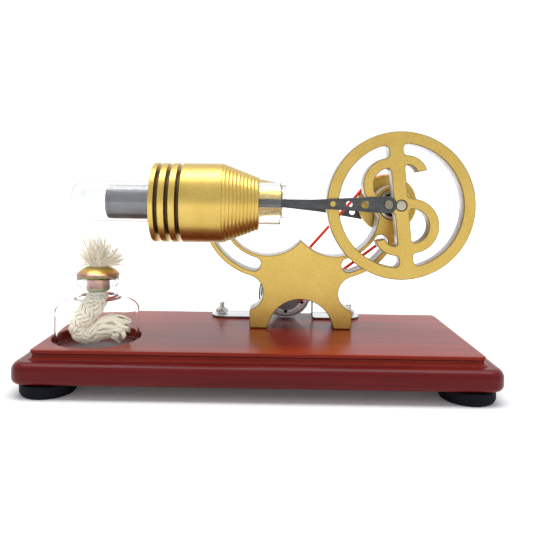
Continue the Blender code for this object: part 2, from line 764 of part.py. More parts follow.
def make_hot_tube():
    tube = screwed("hot_tube", tube_profile(), False, 26)
    place(tube, "glass", (0, FRONT_Y, AXIS_Z), ALONG_X)
    start = (TRANSFER_X, FRONT_Y + 0.008, AXIS_Z)
    drill(tube, PORT_RADIUS, start, (TRANSFER_X, FRONT_Y + 0.014, AXIS_Z), 12)
    guide = ring("rod_guide", 0.0033, TUBE_BORE - GAP, GUIDE_LEFT, GUIDE_RIGHT)
    place(guide, "bright_steel", (0, FRONT_Y, AXIS_Z), ALONG_X)
    bush = ring("rod_guide_bush", 0.0013, 0.003, GUIDE_LEFT - 0.001, GUIDE_RIGHT + 0.001, 16)
    place(bush, "brass", (0, FRONT_Y, AXIS_Z), ALONG_X)


def make_displacer(slider, wrist_x, wrist_z):
    """A thin cup with an end plug, on a rod whose flat eye lies beside the connecting rod."""
    wall = DISPLACER_WALL
    inner = DISPLACER_RADIUS - wall
    corner = DISPLACER_CORNER
    centre = DISPLACER_LEFT + corner
    flat = DISPLACER_RADIUS - corner
    turns = [math.pi / 2 * i / 4 for i in range(5)]
    outer = [(flat + corner * math.cos(a), centre - corner * math.sin(a)) for a in turns]
    floor = [(0.0, DISPLACER_LEFT + wall), (inner - 0.002, DISPLACER_LEFT + wall)]
    side = [(inner, centre), (inner, DISPLACER_RIGHT), (DISPLACER_RADIUS, DISPLACER_RIGHT)]
    cup = screwed("displacer", floor + side + outer + [(0.0, DISPLACER_LEFT)], False, 24)
    place(cup, "grey_steel", (0, FRONT_Y, AXIS_Z), ALONG_X, slider)
    plug_left = DISPLACER_RIGHT - 0.004
    plug = ring("displacer_plug", 0.0013, inner - GAP, plug_left, DISPLACER_RIGHT - GAP)
    place(plug, "bright_steel", (0, FRONT_Y, AXIS_Z), ALONG_X, slider)
    rod = rod_shape("displacer_rod", 0.001, plug_left - 0.002, wrist_x - 0.001, 12)
    place(rod, "bright_steel", (0, FRONT_Y, AXIS_Z), ALONG_X, slider)
    eye = rod_shape("eye", 0.0022, -0.00099, 0.00099, 16)
    combine(rod, cutter(eye, (wrist_x, FRONT_Y, wrist_z), ALONG_Y), "UNION")


def make_transfer():
    """The hollow stud through the plate's left boss, with a gasket under each cylinder."""
    along = (TRANSFER_X, 0, AXIS_Z)
    front = FRONT_Y + TUBE_RADIUS + 0.001
    back = REAR_Y - GLASS_RADIUS - 0.0009
    stud = ring("transfer_stud", TRANSFER_BORE, TRANSFER_RADIUS, front, back, 16)
    place(stud, "brass", along, ALONG_Y)
    hole = TRANSFER_RADIUS + GAP
    starts = {"front": PLATE_FRONT - GAP - GASKET_THICK, "rear": PLATE_BACK + GAP}
    for side, start in starts.items():
        gasket = ring(f"gasket_{side}", hole, GASKET_RADIUS, start, start + GASKET_THICK, 20)
        place(gasket, "fibre", along, ALONG_Y)


def make_rear_cylinder():
    points = ridged(JACKET_RIGHT, JACKET_SHOULDER, JACKET_END, JACKET_RADIUS, JACKET_RIDGES)
    bore = GLASS_RADIUS + GAP
    points += [(JACKET_RADIUS, JACKET_SHOULDER), (JACKET_RADIUS, JACKET_LEFT)]
    points += [(bore, JACKET_LEFT), (bore, JACKET_RIGHT)]
    jacket = screwed("power_jacket", points, True, 26)
    place(jacket, "gold_anodised", (0, REAR_Y, AXIS_Z), ALONG_X)
    start = (TRANSFER_X, PLATE_BACK - 0.001, AXIS_Z)
    drill(jacket, TRANSFER_RADIUS + GAP, start, (TRANSFER_X, REAR_Y - GLASS_RADIUS + PAST, AXIS_Z), 20)
    seat = PLATE_BACK + GAP + GASKET_THICK + GAP
    drill(jacket, GASKET_RADIUS + GAP, start, (TRANSFER_X, seat, AXIS_Z), 24)
    glass = ring("power_glass", GLASS_BORE, GLASS_RADIUS, GLASS_LEFT, GLASS_RIGHT, 28)
    place(glass, "glass", (0, REAR_Y, AXIS_Z), ALONG_X)
    start = (TRANSFER_X, REAR_Y - GLASS_RADIUS - PAST, AXIS_Z)
    drill(glass, PORT_RADIUS, start, (TRANSFER_X, REAR_Y - GLASS_BORE + PAST, AXIS_Z), 12)
    head_points = [
        (GLASS_BORE - GAP, TRANSFER_X - 0.0055),
        (GLASS_BORE - GAP, GLASS_LEFT - GAP),
        (GLASS_RADIUS, GLASS_LEFT - GAP),
        (GLASS_RADIUS, JACKET_LEFT - 0.001),
    ]
    head = screwed("power_head", solid_profile(head_points), False, 24)
    place(head, "bright_steel", (0, REAR_Y, AXIS_Z), ALONG_X)


def make_generator(rotor):
    at = (MOTOR_X, 0, MOTOR_Z)
    wall = MOTOR_WALL
    can_front = MOTOR_FRONT + 0.0002
    boss = MOTOR_BOSS
    can_points = [
        (0.0013, MOTOR_BACK - wall),
        (0.0013, MOTOR_BACK + 0.0015),
        (boss, MOTOR_BACK + 0.0015),
        (boss, MOTOR_BACK),
        (MOTOR_RADIUS - 0.001, MOTOR_BACK),
        (MOTOR_RADIUS, MOTOR_BACK - 0.001),
        (MOTOR_RADIUS, can_front),
        (MOTOR_RADIUS - wall, can_front),
        (MOTOR_RADIUS - wall, MOTOR_BACK - wall),
    ]
    place(screwed("generator_can", can_points, True, 24), "bright_steel", at, ALONG_Y)
    rim = MOTOR_RADIUS - wall - GAP
    face_points = [
        (rim, MOTOR_FRONT + 0.0016),
        (rim, MOTOR_FRONT),
        (0.003, MOTOR_FRONT),
        (0.003, MOTOR_FRONT - 0.0008),
        (0.0013, MOTOR_FRONT - 0.0008),
        (0.0013, MOTOR_FRONT + 0.0016),
    ]
    face = screwed("generator_face", face_points, True, 26)
    place(face, "bright_steel", at, ALONG_Y)
    for turn in (30, 90, 150, 210, 270, 330):
        angle = math.radians(turn)
        x = MOTOR_X + VENT_CIRCLE * math.cos(angle)
        z = MOTOR_Z + VENT_CIRCLE * math.sin(angle)
        drill(face, VENT_RADIUS, (x, MOTOR_FRONT - PAST, z), (x, MOTOR_FRONT + PAST, z), 8)
    magnet = ring("generator_magnet", 0.0125, rim, MOTOR_FRONT + 0.0025, MOTOR_BACK - 0.002)
    place(magnet, "black_rubber", at, ALONG_Y)
    armature = ring("generator_armature", 0.0013, 0.0119, MOTOR_FRONT + 0.004, MOTOR_BACK - 0.004, 24)
    place(armature, "brass", at, ALONG_Y, rotor)
    shaft = rod_shape("generator_shaft", 0.001, DISC_FRONT + 0.0005, MOTOR_BACK + 0.0005, 12)
    place(shaft, "bright_steel", at, ALONG_Y, rotor)
    bottom = BELT_ON_PULLEY - BELT_RADIUS - GAP
    section = grooved_profile(PULLEY_RADIUS, 0.0013, bottom, DISC_FRONT + 0.001, DISC_BACK - 0.0003)
    place(screwed("generator_pulley", section, True, 24), "grey_steel", at, ALONG_Y, rotor)


def make_strap():
    """A band bent over the generator, with two feet whose ends are round."""
    inner = MOTOR_RADIUS + GAP
    outer = inner + STRAP_THICK
    low = -(MOTOR_Z - BASE_TOP) + GAP
    top = low + STRAP_THICK
    outline = [(STRAP_REACH, low), (STRAP_REACH, top), (outer, top)]
    outline += arc((0, 0), outer, 0.0, math.pi, 24)
    outline += [(-outer, top), (-STRAP_REACH, top), (-STRAP_REACH, low), (-inner, low)]
    outline += arc((0, 0), inner, math.pi, 0.0, 24)
    outline += [(inner, low)]
    strap = flat_part("generator_strap", [outline], 2 * STRAP_HALF_WIDTH)
    place(strap, "chrome", (MOTOR_X, STRAP_Y, MOTOR_Z), UPRIGHT)
    straight = STRAP_REACH - STRAP_HALF_WIDTH
    ends = arc((straight, 0), STRAP_HALF_WIDTH + 0.00001, -math.pi / 2, math.pi / 2, 12)
    ends += arc((-straight, 0), STRAP_HALF_WIDTH + 0.00001, math.pi / 2, 3 * math.pi / 2, 12)
    plan = flat_part("strap_plan", [ends], 0.1)
    combine(strap, cutter(plan, (MOTOR_X, STRAP_Y, MOTOR_Z)), "INTERSECT")
    nut_low = BASE_TOP + GAP + STRAP_THICK + GAP
    for side, x in zip(("left", "right"), stud_places()):
        drill(strap, SCREW_HOLE, (x, STRAP_Y, BASE_TOP - PAST), (x, STRAP_Y, BASE_TOP + PAST), 16)
        shank = screw_points(nut_low + STUD_ABOVE)
        bolt = screwed(f"strap_bolt_{side}", solid_profile(shank), False, 16)
        place(bolt, "bright_steel", (x, STRAP_Y, 0))
        outlines = [hexagon(NUT_CORNERS), circle((0, 0), SCREW_RADIUS + GAP, 16)]
        nut = flat_part(f"strap_nut_{side}", outlines, NUT_HEIGHT)
        place(nut, "bright_steel", (x, STRAP_Y, nut_low + NUT_HEIGHT / 2))


def make_belt():
    """A round belt: two arcs, one on each pulley, joined by straight runs."""
    disc = Vector((SHAFT_X, AXIS_Z))
    pulley = Vector((MOTOR_X, MOTOR_Z))
    run = disc - pulley
    along = math.atan2(run.y, run.x)
    lean = math.acos((BELT_ON_PULLEY - BELT_ON_DISC) / run.length)
    points = arc(disc, BELT_ON_DISC, along - lean, along + lean, 20)
    points += arc(pulley, BELT_ON_PULLEY, along + lean, along - lean + 2 * math.pi, 12)
    data = bpy.data.curves.new("drive_belt", "CURVE")
    data.dimensions = "3D"
    data.bevel_depth = BELT_RADIUS
    data.bevel_resolution = 2
    spline = data.splines.new("POLY")
    spline.points.add(len(points) - 1)
    for point, (x, z) in zip(spline.points, points):
        point.co = (x, BELT_Y, z, 1.0)
    spline.use_cyclic_u = True
    place(bpy.data.objects.new("drive_belt", data), "red_rubber", (0, 0, 0))


def make_lamp(lamp):
    at = (LAMP_X, LAMP_Y, BASE_TOP)
    bottle_points = [
        (0.0, -0.0042),
        (0.0203, -0.0042),
        (0.0222, -0.0025),
        (0.0222, 0.0160),
        (0.0205, 0.0182),
        (0.0105, 0.0213),
        (0.0100, 0.0235),
        (0.0100, 0.0346),
        (0.0121, 0.0346),
        (0.0122, 0.0308),
        (0.0114, 0.0300),
        (0.0114, 0.0242),
        (0.0134, 0.0226),
        (0.0213, 0.0200),
        (BOTTLE_RADIUS, 0.0172),
        (BOTTLE_RADIUS, -0.0045),
        (0.0224, -0.0060),
        (0.0, -0.0060),
    ]
    place(screwed("lamp_bottle", bottle_points, False, 24), "glass", at, ALONG_Z, lamp)
    cap_points = [
        (0.0043, 0.0409),
        (0.0070, 0.0402),
        (0.0100, 0.0386),
        (0.0121, 0.0366),
        (0.0123, 0.0349),
        (0.0043, 0.0349),
    ]
    place(screwed("lamp_cap", cap_points, True, 24), "zinc", at, ALONG_Z, lamp)
    low, high = 0.0270, 0.0346
    holder = flat_part("wick_holder", [hexagon(0.0146), circle((0, 0), 0.0043, 20)], high - low)
    place(holder, "zinc", (LAMP_X, LAMP_Y, BASE_TOP + (low + high) / 2), ALONG_Z, lamp)
    make_wick(lamp, at)


def through(points, steps):
    """A smooth Catmull-Rom curve through the given points."""
    vectors = [Vector(point) for point in points]
    padded = [2 * vectors[0] - vectors[1]] + vectors + [2 * vectors[-1] - vectors[-2]]
    found = []
    for before, start, end, after in zip(padded, padded[1:], padded[2:], padded[3:]):
        for step in range(steps):
            t = step / steps
            found.append(
                0.5
                * (
                    2 * start
                    + (end - before) * t
                    + (2 * before - 5 * start + 4 * end - after) * t**2
                    + (3 * start - before - 3 * end + after) * t**3
                )
            )
    return found + [vectors[-1]]


def make_wick(lamp, at):
    """The rope: a frayed head above the cap, a narrow throat in it, and the fold in the bottle."""
    head = [
        (0.0022, 0.0600),
        (0.0070, 0.0560),
        (0.0100, 0.0505),
        (0.0082, 0.0455),
        (WICK_THROAT, 0.0412),
        (WICK_THROAT, 0.0240),
    ]
    wick = screwed("wick", solid_profile(head), False, 16)
    place(wick, "cotton", at, ALONG_Z, lamp)
    route = [
        (0.0, 0.0, 0.0258),
        (-0.0001, -0.0001, 0.0236),
        (-0.0020, -0.0010, 0.0190),
        (-0.0068, -0.0016, 0.0135),
        (-0.0118, -0.0014, 0.0070),
        (-0.0120, -0.0006, 0.0022),
        (-0.0064, 0.0004, 0.0020),
        (0.0000, 0.0006, 0.0034),
        (0.0062, 0.0002, 0.0046),
        (0.0120, -0.0004, 0.0034),
        (0.0148, -0.0008, 0.0020),
    ]
    data = bpy.data.curves.new("wick_fold", "CURVE")
    data.dimensions = "3D"
    data.bevel_depth = WICK_RADIUS
    data.bevel_resolution = 2
    data.use_fill_caps = True
    spline = data.splines.new("POLY")
    points = through(route, 2)
    spline.points.add(len(points) - 1)
    for point, place_at in zip(spline.points, points):
        point.co = (*place_at, 1.0)
    fold = as_mesh(bpy.data.objects.new("wick_fold", data))
    combine(wick, cutter(fold, at), "UNION")


def main():
    crank = axis_empty("crank_axis", (SHAFT_X, 0, AXIS_Z))
    slider = axis_empty("displacer_axis", (0, FRONT_Y, AXIS_Z))
    piston = axis_empty("piston_axis", (0, REAR_Y, AXIS_Z))
    rotor = axis_empty("generator_axis", (MOTOR_X, 0, MOTOR_Z))
    lamp = axis_empty("lamp_axis", (LAMP_X, LAMP_Y, BASE_TOP))
    make_base()
    make_feet()
    make_frame()
    make_bearings(crank)
    make_flywheel(crank)
    make_crank(crank)
    wrist_x, wrist_z = make_front_rod()
    make_rear_rod(piston)
    make_cooler()
    make_hot_tube()
    make_displacer(slider, wrist_x, wrist_z)
    make_transfer()
    make_rear_cylinder()
    make_generator(rotor)
    make_strap()
    make_belt()
    make_lamp(lamp)


main()
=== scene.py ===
"""The looks of a desk hot-air engine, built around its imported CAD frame.

Everything is in metres in the frame's own axes: X along the base, Y away from the flywheel side, Z up.
"""

import json
import math
import random

import bmesh
import bpy
import numpy as np
from mathutils import Matrix, Vector


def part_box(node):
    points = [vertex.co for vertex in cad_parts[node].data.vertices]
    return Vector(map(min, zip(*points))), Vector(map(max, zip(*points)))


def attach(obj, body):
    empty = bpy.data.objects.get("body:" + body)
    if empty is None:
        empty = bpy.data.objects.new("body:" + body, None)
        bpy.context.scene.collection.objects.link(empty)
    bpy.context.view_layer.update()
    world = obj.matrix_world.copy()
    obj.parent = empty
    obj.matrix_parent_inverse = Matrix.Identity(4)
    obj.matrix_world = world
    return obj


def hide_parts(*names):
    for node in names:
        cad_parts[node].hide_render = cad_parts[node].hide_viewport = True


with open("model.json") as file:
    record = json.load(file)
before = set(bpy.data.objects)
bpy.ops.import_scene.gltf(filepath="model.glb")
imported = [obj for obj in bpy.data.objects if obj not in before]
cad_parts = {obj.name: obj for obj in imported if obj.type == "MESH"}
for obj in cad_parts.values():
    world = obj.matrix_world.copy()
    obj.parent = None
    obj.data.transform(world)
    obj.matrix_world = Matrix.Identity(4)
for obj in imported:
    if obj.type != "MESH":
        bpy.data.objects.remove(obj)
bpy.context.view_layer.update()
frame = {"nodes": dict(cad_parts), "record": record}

MM = 0.001


def middle(node):
    """The middle of a node's box."""
    low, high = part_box(node)
    return (low + high) / 2


# Driving places, from the frame
WHEEL_LOW, WHEEL_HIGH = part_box("flywheel")
PLATE_LOW, PLATE_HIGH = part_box("frame_plate")
BOARD_LOW, BOARD_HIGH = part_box("base_board")
CAN_LOW, CAN_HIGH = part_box("generator_can")
CAP_LOW, CAP_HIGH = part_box("lamp_cap")
HOLDER_LOW, HOLDER_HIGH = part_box("wick_holder")

SHAFT = middle("flywheel")
AXIS_Z = SHAFT.z
FRONT_Y = middle("hot_tube").y
REAR_Y = middle("power_jacket").y
BASE_TOP = BOARD_HIGH.z
MOTOR = middle("generator_can")
LAMP = middle("lamp_bottle")
PLATE_X = middle("frame_plate").x
PORT_X = middle("transfer_stud").x
BELT_Y = 26 * MM

# Bores and seats that more than one piece shares
CRANK_BORE = 3.3 * MM
BEARING_SEAT = 9.8 * MM
PORT_RADIUS = 4.3 * MM
PORT_SEAT = 8.3 * MM
ROD_BORE = 1.3 * MM
WICK_MOUTH = 4.3 * MM
SCREW_BORE = 2.3 * MM
HEAD_BORE = 4.6 * MM
FOOT_SCREW_BORE = 1.9 * MM

# Turns that lay a shape drawn about its own Z along one of the frame's axes, or stand an outline upright
ALONG_X = Matrix.Rotation(math.pi / 2, 4, "Y")
ALONG_Y = Matrix.Rotation(-math.pi / 2, 4, "X")
ALONG_Z = Matrix.Identity(4)
UPRIGHT = Matrix.Rotation(math.pi / 2, 4, "X")


# Materials

# The turn of the noise's grid, which keeps it from lining up with flat faces
OFF_AXIS = (0.6, 0.4, 0.9)


class Paint:
    """One procedural material: a Principled shader and the nodes that feed it."""

    def __init__(self, name, **values):
        self.material = bpy.data.materials.new(name)
        self.material.use_nodes = True
        self.tree = self.material.node_tree
        self.shader = self.tree.nodes["Principled BSDF"]
        for socket, value in values.items():
            self.shader.inputs[socket.replace("_", " ")].default_value = value

    def add(self, kind, links=(), **settings):
        made = self.tree.nodes.new(kind)
        for key, value in settings.items():
            setattr(made, key, value)
        for socket, source in dict(links).items():
            if isinstance(source, bpy.types.NodeSocket):
                self.tree.links.new(source, made.inputs[socket])
            else:
                made.inputs[socket].default_value = source
        return made

    def place(self, scale=(1.0, 1.0, 1.0), source="Object", turn=(0.0, 0.0, 0.0)):
        """Object coordinates in metres, turned and stretched by scale."""
        coordinates = self.add("ShaderNodeTexCoord")
        links = {"Vector": coordinates.outputs[source], "Scale": scale, "Rotation": turn}
        return self.add("ShaderNodeMapping", links).outputs["Vector"]

    def radial(self, size):
        """A coordinate that changes with the radius from local Z and with the height along it."""
        parts = self.add("ShaderNodeSeparateXYZ", {"Vector": self.place()})
        flat = self.add("ShaderNodeCombineXYZ", {"X": parts.outputs["X"], "Y": parts.outputs["Y"]})
        length = self.add("ShaderNodeVectorMath", {0: flat.outputs["Vector"]}, operation="LENGTH")
        terms = {0: length.outputs["Value"], 1: parts.outputs["Z"]}
        total = self.add("ShaderNodeMath", terms, operation="ADD")
        return self.add("ShaderNodeMath", {0: total.outputs[0], 1: size}, operation="MULTIPLY").outputs[0]

    def noise(self, scale, vector=None, detail=3.0, roughness=0.55, distortion=0.0):
        links = {"Scale": scale, "Detail": detail, "Roughness": roughness, "Distortion": distortion}
        links["Vector"] = vector if vector is not None else self.place(turn=OFF_AXIS)
        return self.add("ShaderNodeTexNoise", links).outputs["Fac"]

    def lines(self, size):
        """One-dimensional noise around local Z: the fine rings that turning leaves."""
        links = {"W": self.radial(size), "Scale": 1.0, "Detail": 4.0}
        return self.add("ShaderNodeTexNoise", links, noise_dimensions="1D").outputs["Fac"]

    def ramp(self, factor, stops):
        made = self.add("ShaderNodeValToRGB", {"Fac": factor})
        elements = made.color_ramp.elements
        while len(elements) < len(stops):
            elements.new(0.5)
        for element, (place, colour) in zip(elements, stops):
            element.position = place
            element.color = (*colour, 1.0)
        return made.outputs["Color"]

    def span(self, factor, low, high, start=0.3, end=0.7):
        """A value that runs from low to high while the factor runs from start to end."""
        links = {"Value": factor, "From Min": start, "From Max": end, "To Min": low, "To Max": high}
        return self.add("ShaderNodeMapRange", links).outputs["Result"]

    def colour(self, source):
        self.tree.links.new(source, self.shader.inputs["Base Color"])

    def roughness(self, source):
        self.tree.links.new(source, self.shader.inputs["Roughness"])

    def bump(self, height, distance, strength=1.0, below=None):
        links = {"Height": height, "Distance": distance, "Strength": strength}
        if below is not None:
            links["Normal"] = below
        made = self.add("ShaderNodeBump", links)
        self.tree.links.new(made.outputs["Normal"], self.shader.inputs["Normal"])
        return made.outputs["Normal"]

    def mix(self, factor, first, second, blend="MIX"):
        made = self.add("ShaderNodeMix", data_type="RGBA", blend_type=blend)
        for index, source in ((0, factor), (6, first), (7, second)):
            if isinstance(source, bpy.types.NodeSocket):
                self.tree.links.new(source, made.inputs[index])
            else:
                made.inputs[index].default_value = source
        return made.outputs[2]


def scaled(colour, factors):
    """A colour times one factor for each of its channels."""
    return tuple(factor * channel for factor, channel in zip(factors, colour))


def lacquered_wood(name="lacquered_wood", tint=(1.0, 1.0, 1.0), coat=0.9):
    """Red-brown wood with its grain along X, under a satin lacquer."""
    paint = Paint(name, Coat_Weight=coat, Coat_Roughness=0.24, Coat_IOR=1.22, Specular_IOR_Level=0.05)
    streaks = paint.noise(1.0, paint.place((9.0, 150.0, 260.0)), detail=6.0, roughness=0.6, distortion=0.4)
    broad = paint.noise(1.0, paint.place((3.0, 16.0, 30.0)), detail=2.0)
    pores = paint.noise(1.0, paint.place((60.0, 1900.0, 1900.0)), detail=2.0)
    stops = [(0.30, (0.090, 0.004, 0.006)), (0.52, (0.120, 0.006, 0.007)), (0.76, (0.150, 0.009, 0.007))]
    # tint scales the grain's colour; the copies below use it to paint light and shade onto the wood
    grain = paint.ramp(streaks, [(place, scaled(tone, tint)) for place, tone in stops])
    cloud = paint.ramp(broad, [(0.3, (0.84, 0.80, 0.84)), (0.7, (1.12, 1.12, 1.04))])
    tinted = paint.mix(1.0, grain, cloud, "MULTIPLY")
    dots = paint.ramp(pores, [(0.30, (0.62, 0.52, 0.50)), (0.42, (1.0, 1.0, 1.0))])
    paint.colour(paint.mix(0.35, tinted, dots, "MULTIPLY"))
    paint.roughness(paint.span(broad, 0.32, 0.46))
    paint.bump(streaks, 0.00003, 0.5)
    return paint.material


def blasted_gold(name="blasted_gold", shade=1.0, rough=0.40):
    """Gold anodised aluminium, blasted to a fine sandy face before it was anodised."""
    paint = Paint(name, Metallic=1.0)
    sand = paint.noise(3600.0, detail=2.0)
    cloud = paint.noise(70.0, detail=4.0)
    wear = paint.noise(1500.0, detail=3.0)
    stops = [(0.30, (0.58, 0.400, 0.105)), (0.70, (0.625, 0.447, 0.125))]
    # shade scales the gold's whole tone: the copies below use it to paint light and shade onto the same
    # finish
    base = paint.ramp(cloud, [(place, scaled(tone, [shade] * 3)) for place, tone in stops])
    specks = paint.ramp(wear, [(0.34, (0.80, 0.77, 0.68)), (0.58, (1.05, 1.05, 1.05))])
    paint.colour(paint.mix(0.8, base, specks, "MULTIPLY"))
    paint.roughness(paint.span(wear, rough - 0.05, rough + 0.07))
    paint.bump(sand, 0.00004, 0.55)
    return paint.material


def turned_gold():
    """Gold anodised aluminium straight from the lathe: satin, with very fine rings."""
    paint = Paint("turned_gold", Metallic=1.0, Anisotropic=0.3)
    rings = paint.lines(9000.0)
    cloud = paint.noise(60.0, detail=4.0)
    sand = paint.noise(2400.0, detail=3.0)
    base = paint.ramp(cloud, [(0.30, (0.62, 0.430, 0.105)), (0.70, (0.70, 0.510, 0.150))])
    shade = paint.ramp(rings, [(0.25, (0.86, 0.84, 0.80)), (0.75, (1.05, 1.05, 1.05))])
    grit = paint.ramp(sand, [(0.34, (0.84, 0.82, 0.76)), (0.60, (1.04, 1.04, 1.04))])
    paint.colour(paint.mix(1.0, paint.mix(0.6, base, shade, "MULTIPLY"), grit, "MULTIPLY"))
    paint.roughness(paint.span(sand, 0.26, 0.36))
    paint.bump(sand, 0.00004, 0.5, paint.bump(rings, 0.00002, 0.5))
    return paint.material


def shaded_groove_gold():
    """The floor of a narrow groove, in a dark colour that paints the shade there."""
    paint = Paint("shaded_groove_gold", Metallic=0.7)
    rings = paint.lines(7000.0)
    paint.colour(paint.ramp(rings, [(0.3, (0.055, 0.040, 0.020)), (0.7, (0.13, 0.095, 0.050))]))
    paint.roughness(paint.span(rings, 0.40, 0.60))
    paint.bump(rings, 0.00003, 0.5)
    return paint.material


def milled_edge():
    """Bare aluminium along a cut edge, with cutter marks across the thickness."""
    paint = Paint("milled_edge", Metallic=0.75)
    marks = paint.noise(1.0, paint.place((2600.0, 2600.0, 90.0)), detail=3.0)
    cloud = paint.noise(120.0, detail=3.0)
    paint.colour(paint.ramp(cloud, [(0.3, (0.50, 0.485, 0.465)), (0.7, (0.62, 0.61, 0.595))]))
    paint.roughness(paint.span(marks, 0.24, 0.42))
    paint.bump(marks, 0.00003, 0.5)
    return paint.material


def shaded_chamfer_edge():
    """The narrow chamfer round the plates, painted dark brown: painted shade along their edges."""
    paint = Paint("shaded_chamfer_edge", Metallic=0.9)
    marks = paint.noise(1800.0, detail=3.0)
    paint.colour(paint.ramp(marks, [(0.3, (0.20, 0.115, 0.025)), (0.7, (0.34, 0.215, 0.060))]))
    paint.roughness(paint.span(marks, 0.34, 0.50))
    paint.bump(marks, 0.00003, 0.4)
    return paint.material


def turned_steel(name="turned_steel", colour=(0.62, 0.62, 0.60), low=0.20, high=0.34):
    """Steel from the lathe; low and high bound its roughness."""
    paint = Paint(name, Metallic=1.0)
    rings = paint.lines(6500.0)
    cloud = paint.noise(240.0, detail=3.0)
    paint.colour(paint.ramp(cloud, [(0.3, scaled(colour, [0.84] * 3)), (0.7, colour)]))
    paint.roughness(paint.span(rings, low, high))
    paint.bump(rings, 0.00003, 0.6)
    return paint.material


def brushed_steel(name, dark, light, low, high):
    """Steel strip brushed along its length, which is local X."""
    paint = Paint(name, Metallic=1.0)
    brushed = paint.noise(1.0, paint.place((90.0, 5200.0, 5200.0)), detail=4.0)
    cloud = paint.noise(160.0, detail=4.0)
    lines = paint.ramp(brushed, [(0.30, dark), (0.72, light)])
    worn = paint.ramp(cloud, [(0.35, (0.80, 0.80, 0.82)), (0.65, (1.10, 1.10, 1.08))])
    paint.colour(paint.mix(1.0, lines, worn, "MULTIPLY"))
    paint.roughness(paint.span(cloud, low, high))
    paint.bump(brushed, 0.00002, 0.5)
    return paint.material


def satin_grey():
    """Grey steel with a satin finish round it."""
    paint = Paint("satin_grey", Metallic=0.9)
    rings = paint.lines(5200.0)
    cloud = paint.noise(110.0, detail=4.0)
    paint.colour(paint.ramp(cloud, [(0.3, (0.175, 0.175, 0.195)), (0.7, (0.235, 0.235, 0.255))]))
    paint.roughness(paint.span(rings, 0.44, 0.58))
    paint.bump(rings, 0.00002, 0.6)
    return paint.material


def chrome():
    paint = Paint("chrome", Metallic=1.0)
    scratches = paint.noise(1.0, paint.place((420.0, 2400.0, 420.0)), detail=4.0)
    paint.colour(paint.ramp(scratches, [(0.3, (0.74, 0.75, 0.77)), (0.7, (0.84, 0.85, 0.86))]))
    paint.roughness(paint.span(scratches, 0.05, 0.13))
    paint.bump(scratches, 0.00001, 0.25)
    return paint.material


def zinc(name, low, high):
    """Yellow chromate over zinc: green at the foot, then pink and orange, and olive gold at the top."""
    paint = Paint(name, Metallic=1.0)
    swirl = paint.noise(150.0, detail=3.0, distortion=1.2)
    height = paint.add("ShaderNodeSeparateXYZ", {"Vector": paint.place()}).outputs["Z"]
    rise = paint.span(height, 0.0, 1.0, low, high)
    drift = paint.span(swirl, -0.14, 0.14)
    level = paint.add("ShaderNodeMath", {0: rise, 1: drift}, operation="ADD").outputs[0]
    stops = [
        (0.02, (0.15, 0.19, 0.07)),
        (0.14, (0.22, 0.26, 0.09)),
        (0.24, (0.42, 0.22, 0.22)),
        (0.44, (0.62, 0.32, 0.17)),
        (0.64, (0.64, 0.38, 0.09)),
        (0.95, (0.48, 0.38, 0.10)),
    ]
    paint.colour(paint.ramp(level, stops))
    paint.roughness(paint.span(swirl, 0.26, 0.40))
    paint.bump(paint.noise(1500.0, detail=2.0), 0.00003, 0.3)
    return paint.material


def brass():
    """Turned brass, with its rings a little lighter and darker."""
    paint = Paint("brass", Metallic=1.0)
    rings = paint.lines(5200.0)
    paint.colour(paint.ramp(rings, [(0.3, (0.52, 0.36, 0.13)), (0.7, (0.66, 0.49, 0.20))]))
    paint.roughness(paint.span(rings, 0.22, 0.38))
    paint.bump(rings, 0.00003, 0.5)
    return paint.material


def glass(name, tint=(0.985, 0.995, 0.99), bending=1.46):
    """Clear blown glass, a little uneven, with a faint bloom on it."""
    paint = Paint(name, Transmission_Weight=1.0, IOR=bending)
    uneven = paint.noise(55.0, detail=2.0)
    bloom = paint.noise(320.0, detail=4.0)
    paint.colour(paint.ramp(bloom, [(0.35, tint), (0.75, scaled(tint, [0.985] * 3))]))
    paint.roughness(paint.span(bloom, 0.0, 0.025, 0.45, 0.75))
    paint.bump(uneven, 0.0002, 0.12)
    return paint.material


def rubber(name, dark, light, low, high, grain=1400.0, specular=0.35):
    """A dull surface with a fine grain, for rubber and graphite."""
    paint = Paint(name, Specular_IOR_Level=specular)
    fine = paint.noise(grain, detail=3.0)
    cloud = paint.noise(130.0, detail=4.0)
    paint.colour(paint.ramp(cloud, [(0.3, dark), (0.7, light)]))
    paint.roughness(paint.span(fine, low, high))
    paint.bump(fine, 0.00005, 0.35)
    return paint.material


def cotton():
    """Undyed cotton: fine fibres, darker where the yarns lie deep."""
    paint = Paint("cotton", Roughness=0.9, Sheen_Weight=0.35, Sheen_Roughness=0.5)
    fibre = paint.noise(1.0, paint.place((14.0, 90.0, 1.0), "UV"), detail=4.0)
    cloud = paint.noise(210.0, detail=4.0)
    base = paint.ramp(cloud, [(0.32, (0.97, 0.90, 0.74)), (0.62, (1.0, 0.97, 0.86))])
    lines = paint.ramp(fibre, [(0.34, (0.80, 0.69, 0.51)), (0.54, (1.0, 1.0, 1.0))])
    paint.colour(paint.mix(0.75, base, lines, "MULTIPLY"))
    paint.roughness(paint.span(cloud, 0.82, 0.98))
    paint.bump(fibre, 0.00008, 0.6)
    return paint.material


def paper_fibre():
    paint = Paint("fibre", Roughness=0.85)
    flecks = paint.noise(1100.0, detail=4.0)
    paint.colour(paint.ramp(flecks, [(0.3, (0.16, 0.10, 0.06)), (0.7, (0.30, 0.20, 0.12))]))
    paint.bump(flecks, 0.00005, 0.5)
    return paint.material


